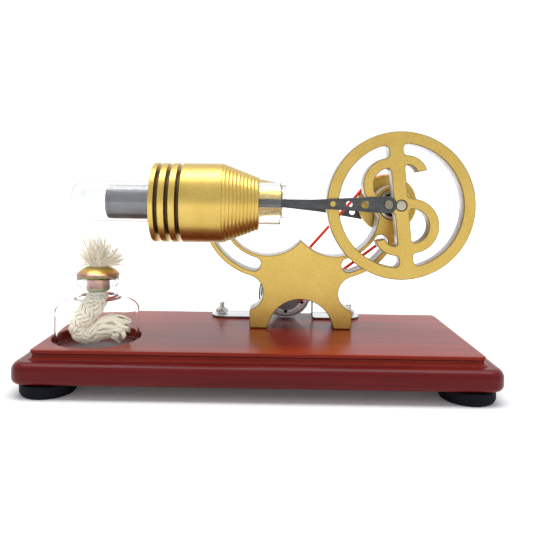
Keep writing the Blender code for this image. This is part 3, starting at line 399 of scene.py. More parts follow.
WOOD = lacquered_wood()
# A copy of the wood nearly twice as light and more orange: painted light on the board's upper faces,
# partly their own more orange tone
LIT_TOP_WOOD = lacquered_wood("lit_top_wood", (1.95, 2.5, 0.6))
# A copy of the wood at a fifth of its tone and with little lacquer, for the lamp's pocket: painted shade
# in the recess
SHADED_POCKET_WOOD = lacquered_wood("shaded_pocket_wood", (0.20, 0.20, 0.20), 0.2)
GOLD = blasted_gold()
# The same gold painted 12% lighter for the plate: painted light
LIT_PLATE_GOLD = blasted_gold("lit_plate_gold", 1.12)
# The same gold painted 14% darker for the crank disc's faces: painted shade
SHADED_DISC_GOLD = blasted_gold("shaded_disc_gold", 0.86, 0.36)
TURNED_GOLD = turned_gold()
SHADED_GROOVE = shaded_groove_gold()
MILLED = milled_edge()
SHADED_CHAMFER = shaded_chamfer_edge()
STEEL = turned_steel()
DULL_STEEL = turned_steel("dull_steel", (0.47, 0.44, 0.34), 0.28, 0.44)
PIN_STEEL = turned_steel("pin_steel", (0.25, 0.225, 0.165), 0.30, 0.46)
DARK_STEEL = brushed_steel("dark_steel", (0.050, 0.052, 0.054), (0.115, 0.118, 0.120), 0.30, 0.44)
# Lighter steel for the rods' sides: a painted highlight where light catches their edges
ROD_EDGE_HIGHLIGHT = brushed_steel("rod_edge_highlight", (0.16, 0.16, 0.15), (0.34, 0.34, 0.32), 0.25, 0.38)
# Near-black steel for a thin ring on the crankshaft: the painted shade of a recess
RECESS_SHADE_STEEL = turned_steel("recess_shade_steel", (0.055, 0.050, 0.044), 0.30, 0.45)
GREY = satin_grey()
CHROME = chrome()
STRAP_EDGE = brushed_steel("strap_edge", (0.20, 0.20, 0.18), (0.34, 0.34, 0.31), 0.28, 0.42)
BRASS = brass()
TUBE_GLASS = glass("tube_glass")
NECK_GLASS = glass("neck_glass", (0.97, 0.99, 0.98))
BODY_GLASS = glass("body_glass", (0.985, 0.99, 0.985), 1.035)
HOLDER_HALF = (HOLDER_HIGH.z - HOLDER_LOW.z) / 2
CAP_ZINC = zinc("cap_zinc", CAP_LOW.z - BASE_TOP, CAP_HIGH.z - BASE_TOP)
HOLDER_ZINC = zinc("holder_zinc", -1.5 * HOLDER_HALF, 4.1 * HOLDER_HALF)
BLACK = rubber("black_rubber", (0.0025, 0.003, 0.006), (0.005, 0.006, 0.010), 0.60, 0.80, specular=0.12)
RED = rubber("red_rubber", (0.78, 0.030, 0.010), (0.88, 0.055, 0.018), 0.36, 0.50, 900.0)
GRAPHITE = rubber("graphite", (0.035, 0.035, 0.040), (0.070, 0.070, 0.076), 0.38, 0.55, 2200.0)
COTTON = cotton()
FIBRE = paper_fibre()

SLOT_PAINT = {
    "lacquered_wood": WOOD,
    "gold_anodised": TURNED_GOLD,
    "black_rubber": BLACK,
    "bright_steel": STEEL,
    "grey_steel": GREY,
    "dark_steel": DARK_STEEL,
    "chrome": CHROME,
    "clear_glass": TUBE_GLASS,
    "brass": BRASS,
    "zinc_plate": CAP_ZINC,
    "cotton": COTTON,
    "red_rubber": RED,
    "graphite": GRAPHITE,
    "fibre": FIBRE,
}
BODY_OF = {node: body for body, nodes in frame["record"]["behaviour"]["bodies"].items() for node in nodes}
SLOT_OF = {part["node"]: part["material_slot"] for part in frame["record"]["subparts"]}


# Shapes


def smooth_shading(mesh, degrees=30.0):
    mesh.shade_smooth()
    mesh.set_sharp_from_angle(angle=math.radians(degrees))


def link(obj):
    """Put an object in the scene, unless it is there already."""
    if obj.name not in bpy.context.scene.collection.objects:
        bpy.context.scene.collection.objects.link(obj)


def stand_for(obj, *nodes):
    """Put a finished piece on its nodes' body, in their place."""
    link(obj)
    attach(obj, BODY_OF[nodes[0]])
    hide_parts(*nodes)


def add_to(obj, node):
    """Put an extra piece, with no node of its own, on a node's body with that node's slot."""
    link(obj)
    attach(obj, BODY_OF[node])


def bake(obj):
    """Make an object's modifiers part of its mesh."""
    bpy.context.view_layer.update()
    made = bpy.data.meshes.new_from_object(obj.evaluated_get(bpy.context.evaluated_depsgraph_get()))
    obj.modifiers.clear()
    name = obj.data.name
    obj.data = made
    made.name = name


def carve(obj, shapes, operation="DIFFERENCE"):
    """Cut each shape out of obj for good, or with INTERSECT keep what lies inside it; the shapes go."""
    for shape in shapes:
        link(shape)
        step = obj.modifiers.new("carve", "BOOLEAN")
        step.operation = operation
        step.object = shape
        step.solver = "EXACT"
    bake(obj)
    for shape in shapes:
        bpy.data.objects.remove(shape)


def footprint(node):
    """The point on the table below the middle of a node."""
    return Vector((*middle(node).xy, 0.0))


def lengthways(node):
    """A turned piece along X: its left end, its right end and its radius."""
    low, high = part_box(node)
    return low.x, high.x, (high.z - low.z) / 2


def crossways(node):
    """A turned piece along Y: the front end of its axis, its radius and its length."""
    low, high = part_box(node)
    front = Vector(((low.x + high.x) / 2, low.y, (low.z + high.z) / 2))
    return front, (high.x - low.x) / 2, high.y - low.y


def eased_corners(points, closed, size):
    """Replace each corner of a profile by a small arc that starts size away from it."""
    count = len(points)
    made = []
    for i, here in enumerate(points):
        inner = closed or 0 < i < count - 1
        before, after = Vector(points[i - 1]), Vector(points[(i + 1) % count])
        corner = Vector(here)
        back, on = before - corner, after - corner
        if not inner or back.length < 1e-7 or on.length < 1e-7 or abs(back.angle(on) - math.pi) < 0.3:
            made.append(tuple(here))
            continue
        reach = min(size, back.length * 0.42, on.length * 0.42)
        start, end = corner + back.normalized() * reach, corner + on.normalized() * reach
        for t in (0.0, 0.25, 0.5, 0.75, 1.0):
            made.append(tuple((1 - t) ** 2 * start + 2 * t * (1 - t) * corner + t**2 * end))
    return made


def turned(name, profile, centre, turn, materials, closed=True, ease=0.0002, steps=96, paint_of=None):
    """A turned shape about local Z from (radius, height) points, with eased corners."""
    points = eased_corners(profile, closed, ease) if ease else list(profile)
    vertices, rings = [], []
    for radius, height in points:
        if radius < 1e-7:
            rings.append([len(vertices)] * steps)
            vertices.append((0.0, 0.0, height))
            continue
        first = len(vertices)
        rings.append(list(range(first, first + steps)))
        for step in range(steps):
            angle = 2 * math.pi * step / steps
            vertices.append((radius * math.cos(angle), radius * math.sin(angle), height))
    faces, paints = [], []
    pairs = list(zip(range(len(points)), range(1, len(points))))
    if closed:
        pairs.append((len(points) - 1, 0))
    for low, high in pairs:
        middle = ((points[low][0] + points[high][0]) / 2, (points[low][1] + points[high][1]) / 2)
        index = paint_of(*middle) if paint_of else 0
        for step in range(steps):
            after = (step + 1) % steps
            corners = [rings[low][step], rings[low][after], rings[high][after], rings[high][step]]
            corners = list(dict.fromkeys(corners))
            if len(corners) > 2:
                faces.append(corners)
                paints.append(index)
    mesh = bpy.data.meshes.new(name)
    mesh.from_pydata(vertices, [], faces)
    for material in materials:
        mesh.materials.append(material)
    mesh.polygons.foreach_set("material_index", paints)
    bm = bmesh.new()
    bm.from_mesh(mesh)
    bmesh.ops.recalc_face_normals(bm, faces=bm.faces)
    bm.to_mesh(mesh)
    bm.free()
    smooth_shading(mesh)
    obj = bpy.data.objects.new(name, mesh)
    obj.matrix_world = Matrix.Translation(centre) @ turn
    return obj


def ring(name, inner, outer, low, high, centre, turn, material, ease=0.0002, steps=72):
    """A hollow cylinder with eased rims."""
    profile = [(outer, high), (outer, low), (inner, low), (inner, high)]
    return turned(name, profile, centre, turn, [material], True, ease, steps)


def plug(name, radius, low, high, centre, turn, material, ease=0.0002, steps=72):
    """A solid cylinder with eased rims."""
    profile = [(0.0, high), (radius, high), (radius, low), (0.0, low)]
    return turned(name, profile, centre, turn, [material], False, ease, steps)


def bored_bar(name, node, bore, material, ease=0.0002):
    """A ring in a node's place on the front cylinder's axis, as long and as thick as the node."""
    left, right, radius = lengthways(node)
    stand_for(ring(name, bore, radius, left, right, along_x(FRONT_Y), ALONG_X, material, ease), node)


def bored_disc(name, node, bore, material, ease=0.0002):
    """A ring along Y in a node's place, as long and as thick as the node."""
    at, radius, length = crossways(node)
    stand_for(ring(name, bore, radius, 0.0, length, at, ALONG_Y, material, ease), node)


def arc(centre, radius, start, end, count):
    """Points along an arc, with both of its ends."""
    turns = [start + (end - start) * i / count for i in range(count + 1)]
    return [(centre[0] + radius * math.cos(a), centre[1] + radius * math.sin(a)) for a in turns]


def circle(centre, radius, count=64):
    return arc(centre, radius, 0.0, 2 * math.pi, count)[:-1]


def angle_to(centre, point):
    return math.atan2(point[1] - centre[1], point[0] - centre[0])


def crossing(first, first_radius, second, second_radius, side):
    """One of the two points where two circles cross; side is 1 or -1."""
    run = Vector(second) - Vector(first)
    along = (run.length_squared + first_radius**2 - second_radius**2) / (2 * run.length)
    across = math.sqrt(first_radius**2 - along**2) * side
    unit = run.normalized()
    return (first[0] + unit.x * along - unit.y * across, first[1] + unit.y * along + unit.x * across)


def resampled(points, spacing):
    """The same closed outline with points at an even spacing."""
    loop = np.array(points + points[:1])
    lengths = np.hypot(*np.diff(loop, axis=0).T)
    run = np.concatenate([[0.0], np.cumsum(lengths)])
    count = max(8, int(run[-1] / spacing))
    at = np.linspace(0.0, run[-1], count, endpoint=False)
    return np.stack([np.interp(at, run, loop[:, 0]), np.interp(at, run, loop[:, 1])], axis=1)


def softened_outline(points, reach, spacing):
    """Round an outline's sharp corners within reach of each, and leave the rest as it is."""
    loop = np.array(points)
    before, after = loop - np.roll(loop, 1, axis=0), np.roll(loop, -1, axis=0) - loop
    bend = np.abs(np.angle(np.exp(1j * (np.arctan2(*after.T[::-1]) - np.arctan2(*before.T[::-1])))))
    corners = loop[bend > math.radians(24)]
    fine = resampled(points, spacing)
    if not len(corners):
        return [tuple(p) for p in fine]
    nearest = np.min(np.hypot(fine[:, None, 0] - corners[:, 0], fine[:, None, 1] - corners[:, 1]), axis=1)
    weight = np.clip(1.0 - nearest / reach, 0.0, 1.0)[:, None] ** 0.5
    for _ in range(int((reach / spacing) ** 2)):
        fine += weight * ((np.roll(fine, 1, axis=0) + np.roll(fine, -1, axis=0)) / 2 - fine) * 0.5
    return [tuple(p) for p in fine]


def flat_solid(name, outlines, thickness, bevel, centre, face, side, turn=UPRIGHT, chamfer=None):
    """A plate cut to an outline, with eased edges and a material each for faces, sides and chamfers."""
    data = bpy.data.curves.new(name, "CURVE")
    data.dimensions = "2D"
    data.fill_mode = "BOTH"
    data.extrude = thickness / 2 - bevel
    data.bevel_depth = bevel
    data.bevel_resolution = 2
    data.offset = -bevel
    for outline in outlines:
        spline = data.splines.new("POLY")
        spline.points.add(len(outline) - 1)
        for point, (x, y) in zip(spline.points, outline):
            point.co = (x, y, 0.0, 1.0)
        spline.use_cyclic_u = True
    curve = bpy.data.objects.new(name, data)
    link(curve)
    mesh = bpy.data.meshes.new_from_object(curve.evaluated_get(bpy.context.evaluated_depsgraph_get()))
    bpy.data.objects.remove(curve)
    bpy.data.curves.remove(data)
    bm = bmesh.new()
    bm.from_mesh(mesh)
    bmesh.ops.remove_doubles(bm, verts=bm.verts, dist=0.000002)
    bmesh.ops.recalc_face_normals(bm, faces=bm.faces)
    for polygon in bm.faces:
        level = abs(polygon.normal.z)
        polygon.material_index = 1 if level < 0.15 else 2 if chamfer and level < 0.985 else 0
    mesh.materials.clear()
    bm.to_mesh(mesh)
    bm.free()
    mesh.materials.append(face)
    mesh.materials.append(side)
    if chamfer:
        mesh.materials.append(chamfer)
    smooth_shading(mesh)
    for polygon in mesh.polygons:
        if abs(polygon.normal.z) > 0.999:
            polygon.use_smooth = False
    mesh.name = name
    obj = bpy.data.objects.new(name, mesh)
    obj.matrix_world = Matrix.Translation(centre) @ turn
    return obj


# Outlines made by joining shapes with a round fillet in each inner corner


def signed_distance(polygon, x, y):
    """Distance from each grid point to a closed polygon, negative inside it."""
    nearest = np.full(x.shape, 1e9)
    inside = np.zeros(x.shape, bool)
    for (ax, ay), (bx, by) in zip(polygon, polygon[1:] + polygon[:1]):
        ex, ey = bx - ax, by - ay
        wx, wy = x - ax, y - ay
        t = np.clip((wx * ex + wy * ey) / (ex * ex + ey * ey), 0.0, 1.0)
        nearest = np.minimum(nearest, (wx - t * ex) ** 2 + (wy - t * ey) ** 2)
        crosses = (ay > y) != (by > y)
        if ey:
            inside ^= crosses & (wx < wy / ey * ex)
    return np.where(inside, -1.0, 1.0) * np.sqrt(nearest)


def filleted(first, second, radius):
    """Union of two distance fields with a fillet of that radius."""
    wide = np.hypot(np.maximum(radius - first, 0.0), np.maximum(radius - second, 0.0))
    return np.maximum(radius, np.minimum(first, second)) - wide


def contours(field, start, step):
    """Closed outlines along the zero level of a distance field on a square grid."""
    inside = field < 0.0
    links = {}

    def crossing_point(a, b):
        va, vb = field[a[1], a[0]], field[b[1], b[0]]
        t = va / (va - vb)
        return tuple(start[k] + step * (a[k] + t * (b[k] - a[k])) for k in (0, 1))

    mixed = inside[:-1, :-1].astype(int) + inside[1:, :-1] + inside[:-1, 1:] + inside[1:, 1:]
    for j, i in zip(*np.nonzero((mixed > 0) & (mixed < 4))):
        i, j = int(i), int(j)
        corners = [(i, j), (i + 1, j), (i + 1, j + 1), (i, j + 1)]
        cuts = []
        for k in range(4):
            a, b = corners[k], corners[(k + 1) % 4]
            if inside[a[1], a[0]] != inside[b[1], b[0]]:
                cuts.append(tuple(sorted((a, b))))
        if len(cuts) == 4 and not inside[j, i]:
            cuts = cuts[1:] + cuts[:1]
        for a, b in zip(cuts[::2], cuts[1::2]):
            links.setdefault(a, []).append(b)
            links.setdefault(b, []).append(a)
    loops = []
    while links:
        first = next(iter(links))
        loop, here = [], first
        while here in links:
            loop.append(crossing_point(*here))
            ahead = [n for n in links.pop(here) if n in links]
            if not ahead:
                break
            here = ahead[0]
        loops.append(loop)
    return [thinned(loop) for loop in loops if len(loop) > 12]


def thinned(loop, tolerance=0.000004, longest=0.0016):
    """Drop points of a loop that lie on the line between those kept."""
    points = np.array(loop)
    kept, here = [0], 0
    while here < len(points) - 1:
        ahead = here + 2
        while ahead < len(points):
            chord = points[ahead] - points[here]
            length = math.hypot(*chord)
            between = points[here + 1 : ahead] - points[here]
            away = np.abs(between[:, 0] * chord[1] - between[:, 1] * chord[0]) / max(length, 1e-9)
            if away.max() > tolerance or length > longest:
                break
            ahead += 1
        here = ahead - 1
        kept.append(here)
    return [tuple(points[i]) for i in kept[:-1]]


# Base


def rounded_rectangle(inset, corner, count=10):
    """Outline of the board, that much inside its outer edge."""
    half_x = (BOARD_HIGH.x - BOARD_LOW.x) / 2 - inset
    half_y = (BOARD_HIGH.y - BOARD_LOW.y) / 2 - inset
    points = []
    for quarter, (sx, sy) in enumerate(((1, 1), (-1, 1), (-1, -1), (1, -1))):
        centre = (sx * (half_x - corner), sy * (half_y - corner))
        points += arc(centre, corner, quarter * math.pi / 2, (quarter + 1) * math.pi / 2, count)
    return points


SLAB_TOP = BOARD_LOW.z + 11.6 * MM
TIER_INSET = 8.5 * MM
SLAB_CORNER = 9 * MM
POCKET_RADIUS = 25.3 * MM
POCKET_DEPTH = 6.3 * MM
HEAD_LEVEL = 13 * MM
BELOW_BOARD = 4 * MM


def board_profile():
    """(inset, height) down the board's edge: the tier, a cove with a bead under it, then the slab."""
    top, low = BASE_TOP, BOARD_LOW.z
    tier = [
        (TIER_INSET + 0.0012, top),
        (TIER_INSET + 0.0004, top - 0.00004),
        (TIER_INSET + 0.0001, top - 0.0002),
        (TIER_INSET, top - 0.0006),
        (TIER_INSET, top - 0.0017),
        (TIER_INSET + 0.0003, top - 0.0019),
        (TIER_INSET + 0.0006, top - 0.0024),
        (TIER_INSET + 0.0006, top - 0.0032),
        (TIER_INSET + 0.0003, top - 0.0040),
        (TIER_INSET - 0.0002, top - 0.0044),
        (TIER_INSET - 0.0005, top - 0.0045),
        (TIER_INSET - 0.0006, top - 0.0047),
        (TIER_INSET - 0.0006, SLAB_TOP + 0.0002),
        (TIER_INSET - 0.0008, SLAB_TOP),
    ]
    upper, lower = 4.6 * MM, 3.4 * MM
    slab = [(upper + 0.0004, SLAB_TOP)]
    slab += [(upper * (1 - math.sin(a)), SLAB_TOP - upper * (1 - math.cos(a))) for a in sweep(10)]
    slab += [(lower * (1 - math.cos(a)), low + lower * (1 - math.sin(a))) for a in sweep(8)]
    return tier + slab


def sweep(count):
    """Angles from nought to a right angle."""
    return [math.pi / 2 * i / count for i in range(count + 1)]


def board_blank():
    """The board before it is drilled: its edge profile carried round its outline."""
    bm = bmesh.new()
    rings = []
    for inset, height in board_profile():
        corner = max(SLAB_CORNER - inset, 0.0026)
        rings.append([bm.verts.new((x, y, height)) for x, y in rounded_rectangle(inset, corner)])
    for upper, lower in zip(rings, rings[1:]):
        for i in range(len(upper)):
            j = (i + 1) % len(upper)
            bm.faces.new((upper[i], upper[j], lower[j], lower[i]))
    bm.faces.new(rings[0])
    bm.faces.new(rings[-1])
    bmesh.ops.recalc_face_normals(bm, faces=bm.faces)
    mesh = bpy.data.meshes.new("base_board_fine")
    bm.to_mesh(mesh)
    bm.free()
    mesh.materials.append(WOOD)
    return bpy.data.objects.new("base_board_fine", mesh)


def board_cutters():
    """The lamp's pocket, the holes with a recess for a screw head, and the feet's screw holes."""
    floor, above = BASE_TOP - POCKET_DEPTH, BASE_TOP + 4 * MM
    pocket = [
        (0.0, above),
        (POCKET_RADIUS + 0.0046, above),
        (POCKET_RADIUS + 0.0004, BASE_TOP),
        (POCKET_RADIUS + 0.0001, BASE_TOP - 0.0002),
        (POCKET_RADIUS, BASE_TOP - 0.0006),
        (POCKET_RADIUS, floor + 0.0008),
        (POCKET_RADIUS - 0.0008, floor),
        (0.0, floor),
    ]
    # The pocket's cutter is given the dark wood, painted shade for the pocket
    cutters = [turned("pocket_cut", pocket, (LAMP.x, LAMP.y, 0), ALONG_Z, [SHADED_POCKET_WOOD], False, 0.0, 128)]
    above = 30 * MM
    hole = [
        (0.0, above),
        (SCREW_BORE, above),
        (SCREW_BORE, HEAD_LEVEL),
        (HEAD_BORE, HEAD_LEVEL),
        (HEAD_BORE, BELOW_BOARD),
        (0.0, BELOW_BOARD),
    ]
    for bolt in ("strap_bolt_left", "strap_bolt_right", "frame_screw_left", "frame_screw_right"):
        cutters.append(turned(f"cut_for_{bolt}", hole, footprint(bolt), ALONG_Z, [WOOD], False, 0.0, 32))
    for number in (1, 2, 3, 4):
        at = footprint(f"foot_screw_{number}")
        size = (FOOT_SCREW_BORE, BELOW_BOARD, 15 * MM)
        cutters.append(plug(f"cut_for_foot_{number}", *size, at, ALONG_Z, WOOD, 0.0, 24))
    return cutters


def make_board():
    """The drilled board, with its faces above the slab that don't face down in a lighter, more orange
    wood: painted light, partly the top's own tone.
    """
    board = board_blank()
    link(board)
    carve(board, board_cutters())
    board.data.materials.append(LIT_TOP_WOOD)
    lit_top_wood = len(board.data.materials) - 1
    above = SLAB_TOP + 0.1 * MM
    for polygon in board.data.polygons:
        if polygon.material_index == 0 and polygon.center.z > above and polygon.normal.z > -0.5:
            polygon.material_index = lit_top_wood
    smooth_shading(board.data, 24)
    stand_for(board, "base_board")


def make_feet():
    for number in (1, 2, 3, 4):
        node = f"rubber_foot_{number}"
        low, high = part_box(node)
        radius = (high.x - low.x) / 2
        recess = low.z + 3 * MM
        profile = [
            (radius - 0.0004, high.z),
            (radius, high.z - 0.0006),
            (radius, low.z + 0.0016),
            (radius - 0.0010, low.z),
            (HEAD_BORE, low.z),
            (HEAD_BORE, recess),
            (FOOT_SCREW_BORE, recess),
            (FOOT_SCREW_BORE, high.z),
        ]
        at = footprint(node)
        foot = turned(f"foot_{number}_moulded", profile, at, ALONG_Z, [BLACK], True, 0.0004, 96)
        stand_for(foot, node)


# Frame plate and bearings

BOSS_RADIUS = 12 * MM
ARM = (21.2 * MM, 73 * MM)
ARM_INNER = 27.3 * MM
ARM_OUTER = 41.2 * MM
WAIST = (34.6 * MM, 22.4 * MM)
WAIST_RADIUS = 11 * MM
LEG_OUTER = 32 * MM
LEG_INNER = 20.6 * MM
ARCH_RADIUS = 20.7 * MM
ARCH_CENTRE = (0.0, -2.2 * MM)
SLOT_RADIUS = 33.75 * MM
SLOT_HALF = 4.35 * MM
SLOT_FROM = math.radians(-75.4)
SLOT_TO = math.radians(-31.2)
EDGE_EASE = 0.45 * MM
BEARING_RINGS = (
    ("bearing_outer", 7.6 * MM, STEEL),
    ("bearing_shield", 4.9 * MM, BLACK),
    ("bearing_inner", CRANK_BORE, DULL_STEEL),
)


def plate_half(boss, foot):
    """The right half of the plate's outline, from the peak between the arms to the arch."""
    peak = (0.0, ARM[1] - math.sqrt(ARM_INNER**2 - ARM[0] ** 2))
    inside = crossing(ARM, ARM_INNER, boss, BOSS_RADIUS, -1)
    outside = crossing(ARM, ARM_OUTER, boss, BOSS_RADIUS, -1)
    shoulder = (LEG_OUTER, WAIST[1] - math.sqrt(WAIST_RADIUS**2 - (WAIST[0] - LEG_OUTER) ** 2))
    tangent = angle_to(ARM, WAIST)
    turn = 2 * math.pi
    points = arc(ARM, ARM_INNER, angle_to(ARM, peak) + turn, angle_to(ARM, inside) + turn, 90)
    points += arc(boss, BOSS_RADIUS, angle_to(boss, inside) + turn, angle_to(boss, outside), 70)[1:]
    points += arc(ARM, ARM_OUTER, angle_to(ARM, outside), tangent, 60)[1:]
    points += arc(WAIST, WAIST_RADIUS, tangent + math.pi, angle_to(WAIST, shoulder) + turn, 40)[1:]
    points += [(LEG_OUTER, foot), (LEG_INNER, foot)]
    points += arc(ARCH_CENTRE, ARCH_RADIUS, math.acos(LEG_INNER / ARCH_RADIUS), math.pi / 2, 50)[1:]
    return points


def slot_outline(side):
    """One arc slot: round ends joined by two arcs about the arm's centre."""
    first, last = [arc(ARM, SLOT_RADIUS, angle, angle, 1)[0] for angle in (SLOT_FROM, SLOT_TO)]
    points = arc(ARM, SLOT_RADIUS + SLOT_HALF, SLOT_FROM, SLOT_TO, 40)
    points += arc(last, SLOT_HALF, SLOT_TO, SLOT_TO + math.pi, 24)[1:]
    points += arc(ARM, SLOT_RADIUS - SLOT_HALF, SLOT_TO, SLOT_FROM, 32)[1:]
    points += arc(first, SLOT_HALF, SLOT_FROM + math.pi, SLOT_FROM + 2 * math.pi, 24)[1:-1]
    return [(side * x, y) for x, y in points]


def make_plate():
    """The gold plate, and the thin web that keeps its two bearings apart."""
    boss = (SHAFT.x - PLATE_X, AXIS_Z - BASE_TOP)
    right = plate_half(boss, PLATE_LOW.z - BASE_TOP)
    left = [(-x, y) for x, y in reversed(right[1:-1])]
    outline = softened_outline(right + left, 1.1 * MM, 0.28 * MM)
    holes = [circle(boss, BEARING_SEAT, 96), circle((-boss[0], boss[1]), PORT_RADIUS, 48)]
    outlines = [outline, slot_outline(1), slot_outline(-1)] + holes
    half_way = (PLATE_LOW.y + PLATE_HIGH.y) / 2
    thick = PLATE_HIGH.y - PLATE_LOW.y
    at, paints = (PLATE_X, half_way, BASE_TOP), (LIT_PLATE_GOLD, MILLED)
    plate = flat_solid("frame_plate_cut", outlines, thick, EDGE_EASE, at, *paints, chamfer=SHADED_CHAMFER)
    stand_for(plate, "frame_plate")
    bore, half_thick = 7.5 * MM, 1.1 * MM
    at = (SHAFT.x, half_way, AXIS_Z)
    web = ring("bearing_web", bore, BEARING_SEAT, -half_thick, half_thick, at, ALONG_Y, MILLED)
    add_to(web, "frame_plate")


def make_bearings():
    for side in ("front", "rear"):
        for node, bore, material in BEARING_RINGS:
            bored_disc(f"{node}_{side}_ground", f"{node}_{side}", bore, material, 0.00025)


# Flywheel

RIM_RADIUS = 43.97 * MM
RIM_INNER = 37 * MM
LEAN = math.radians(5.9)
BAR_HALF = 4.2 * MM
BOWL = (-6.5 * MM, 12.0 * MM)
BOWL_INNER = 10.2 * MM
BOWL_OUTER = 16.2 * MM
HOOK = (3.1 * MM, 17.4 * MM)
HOOK_INNER = 6.9 * MM
HOOK_OUTER = 12.4 * MM
BOWL_SPAN = (math.radians(62), math.radians(296))
HOOK_SPAN = (math.radians(18), math.radians(125))
HOOK_TIP = math.radians(22)
RIM_FILLET = 3.6 * MM
SPOKE_FILLET = 2.3 * MM
GRID = 0.16 * MM


def spoke_outlines():
    """The leaning bar, then a bowl and a hook on one side of it, and both again turned half round."""
    reach = (RIM_RADIUS + RIM_INNER) / 2
    sine, cosine = math.sin(LEAN), math.cos(LEAN)
    corners = [(BAR_HALF, reach), (-BAR_HALF, reach), (-BAR_HALF, -reach), (BAR_HALF, -reach)]
    shapes = [[(x * cosine - y * sine, x * sine + y * cosine) for x, y in corners]]
    for side, turn in ((1, 0.0), (-1, math.pi)):
        start, end = turn + BOWL_SPAN[0], turn + BOWL_SPAN[1]
        centre = (side * BOWL[0], side * BOWL[1])
        bowl = arc(centre, BOWL_OUTER, start, end, 90) + arc(centre, BOWL_INNER, end, start, 70)
        start, end = turn + HOOK_SPAN[0], turn + HOOK_SPAN[1]
        centre = (side * HOOK[0], side * HOOK[1])
        hook = arc(centre, HOOK_OUTER, start, end, 50) + arc(centre, HOOK_INNER, end, turn + HOOK_TIP, 30)
        shapes += [bowl, hook]
    return shapes


def make_flywheel():
    edge = RIM_RADIUS + 1.5 * MM
    line = np.arange(-edge, edge, GRID)
    x, y = np.meshgrid(line, line)
    bar, bowl, hook, other_bowl, other_hook = [signed_distance(shape, x, y) for shape in spoke_outlines()]
    spokes = bar
    for shape in (bowl, other_bowl, hook, other_hook):
        spokes = filleted(spokes, shape, SPOKE_FILLET)
    radius = np.hypot(x, y)
    rim = np.maximum(radius - RIM_RADIUS, RIM_INNER - radius)
    outlines = contours(filleted(rim, spokes, RIM_FILLET), (-edge, -edge), GRID)
    outlines.append(circle((0.0, 0.0), CRANK_BORE, 48))
    thick = WHEEL_HIGH.y - WHEEL_LOW.y
    wheel = flat_solid("flywheel_cut", outlines, thick, EDGE_EASE, SHAFT, GOLD, MILLED, chamfer=SHADED_CHAMFER)
    stand_for(wheel, "flywheel")


def make_crank():
    """The crankshaft with a thin dark ring round its end that paints the shade of a recess, its two
    spacers and the front crank pin.
    """
    at, radius, length = crossways("crankshaft")
    shaft = plug("crankshaft_turned", radius, 0.0, length, at, ALONG_Y, DULL_STEEL, 0.0004)
    stand_for(shaft, "crankshaft")
    # A thin dark ring, proud of the shaft, paints the shade of a recess round its end
    line = ring("shaft_recess_shade", radius, radius + 0.0003, 0.0006, 0.0012, at, ALONG_Y, RECESS_SHADE_STEEL, 0.0)
    add_to(line, "crankshaft")
    for node in ("flywheel_spacer", "disc_spacer"):
        bored_disc(f"{node}_turned", node, CRANK_BORE, STEEL)
    at, radius, length = crossways("front_crank_pin")
    head, stem = 1.2 * MM, 1.5 * MM
    profile = [
        (0.0, length),
        (stem, length),
        (stem, head),
        (radius, head),
        (radius, 0.0003),
        (radius - 0.0003, 0.0),
        (0.0, 0.0),
    ]
    pin = turned("front_crank_pin_turned", profile, at, ALONG_Y, [PIN_STEEL], False, 0.00015, 48)
    stand_for(pin, "front_crank_pin")


def grooved(outer, bore, bottom, length, groove):
    """A pulley's section, low end at zero, with a round-bottomed groove at the height given."""
    half, depth = 1.5 * MM, outer - bottom
    section = [(outer, length), (outer, groove + half)]
    section += [(bottom + depth * abs(t) ** 2.2, groove + half * t) for t in (0.75, 0.4, 0.0, -0.4, -0.75)]
    section += [(outer, groove - half), (outer, 0.0), (bore, 0.0), (bore, length)]
    return section


def make_disc():
    at, radius, length = crossways("crank_disc")
    section = grooved(radius, CRANK_BORE, 17.2 * MM, length, BELT_Y - at.y)

    def paint_of(r, h):
        """The turned finish on the disc's edge and in its groove, the darker blasted one, painted shade,
        on its faces.
        """
        return 1 if 0.0 < h < length and r > 10 * MM else 0

    paints = [SHADED_DISC_GOLD, TURNED_GOLD]
    disc = turned("crank_disc_turned", section, at, ALONG_Y, paints, True, 0.0003, 128, paint_of)
    stand_for(disc, "crank_disc")


# Connecting rods

ROD_LENGTH = 84 * MM
BIG_END = 5.1 * MM
SMALL_END = 2.5 * MM
STRAIGHT = 45 * MM
BIG_BORE = 1.8 * MM
SMALL_BORE = 1.5 * MM
ROD_THICK = 1.5 * MM
ROD_HOLES = ((13.7 * MM, 2.35 * MM), (23.0 * MM, 1.95 * MM), (32.4 * MM, 1.8 * MM))


def rod_outlines():
    """A connecting rod along -X from its crank pin, with its lightening holes."""
    up = math.pi / 2 - math.asin((BIG_END - SMALL_END) / STRAIGHT)
    outline = arc((0, 0), BIG_END, -up, up, 48) + [(-STRAIGHT, SMALL_END)]
    outline += arc((-ROD_LENGTH, 0), SMALL_END, math.pi / 2, 3 * math.pi / 2, 32)
    outline.append((-STRAIGHT, -SMALL_END))
    holes = [circle((0, 0), BIG_BORE, 32), circle((-ROD_LENGTH, 0), SMALL_BORE, 24)]
    return [outline] + holes + [circle((-away, 0), radius, 40) for away, radius in ROD_HOLES]


def make_rod(node, pin, slope):
    at = (pin.x, middle(node).y, pin.z)
    turn = Matrix.Rotation(slope, 4, "Y") @ UPRIGHT
    # The rod's sides take the lighter steel, a painted highlight
    rod = flat_solid(f"{node}_cut", rod_outlines(), ROD_THICK, 0.0002, at, DARK_STEEL, ROD_EDGE_HIGHLIGHT, turn)
    stand_for(rod, node)


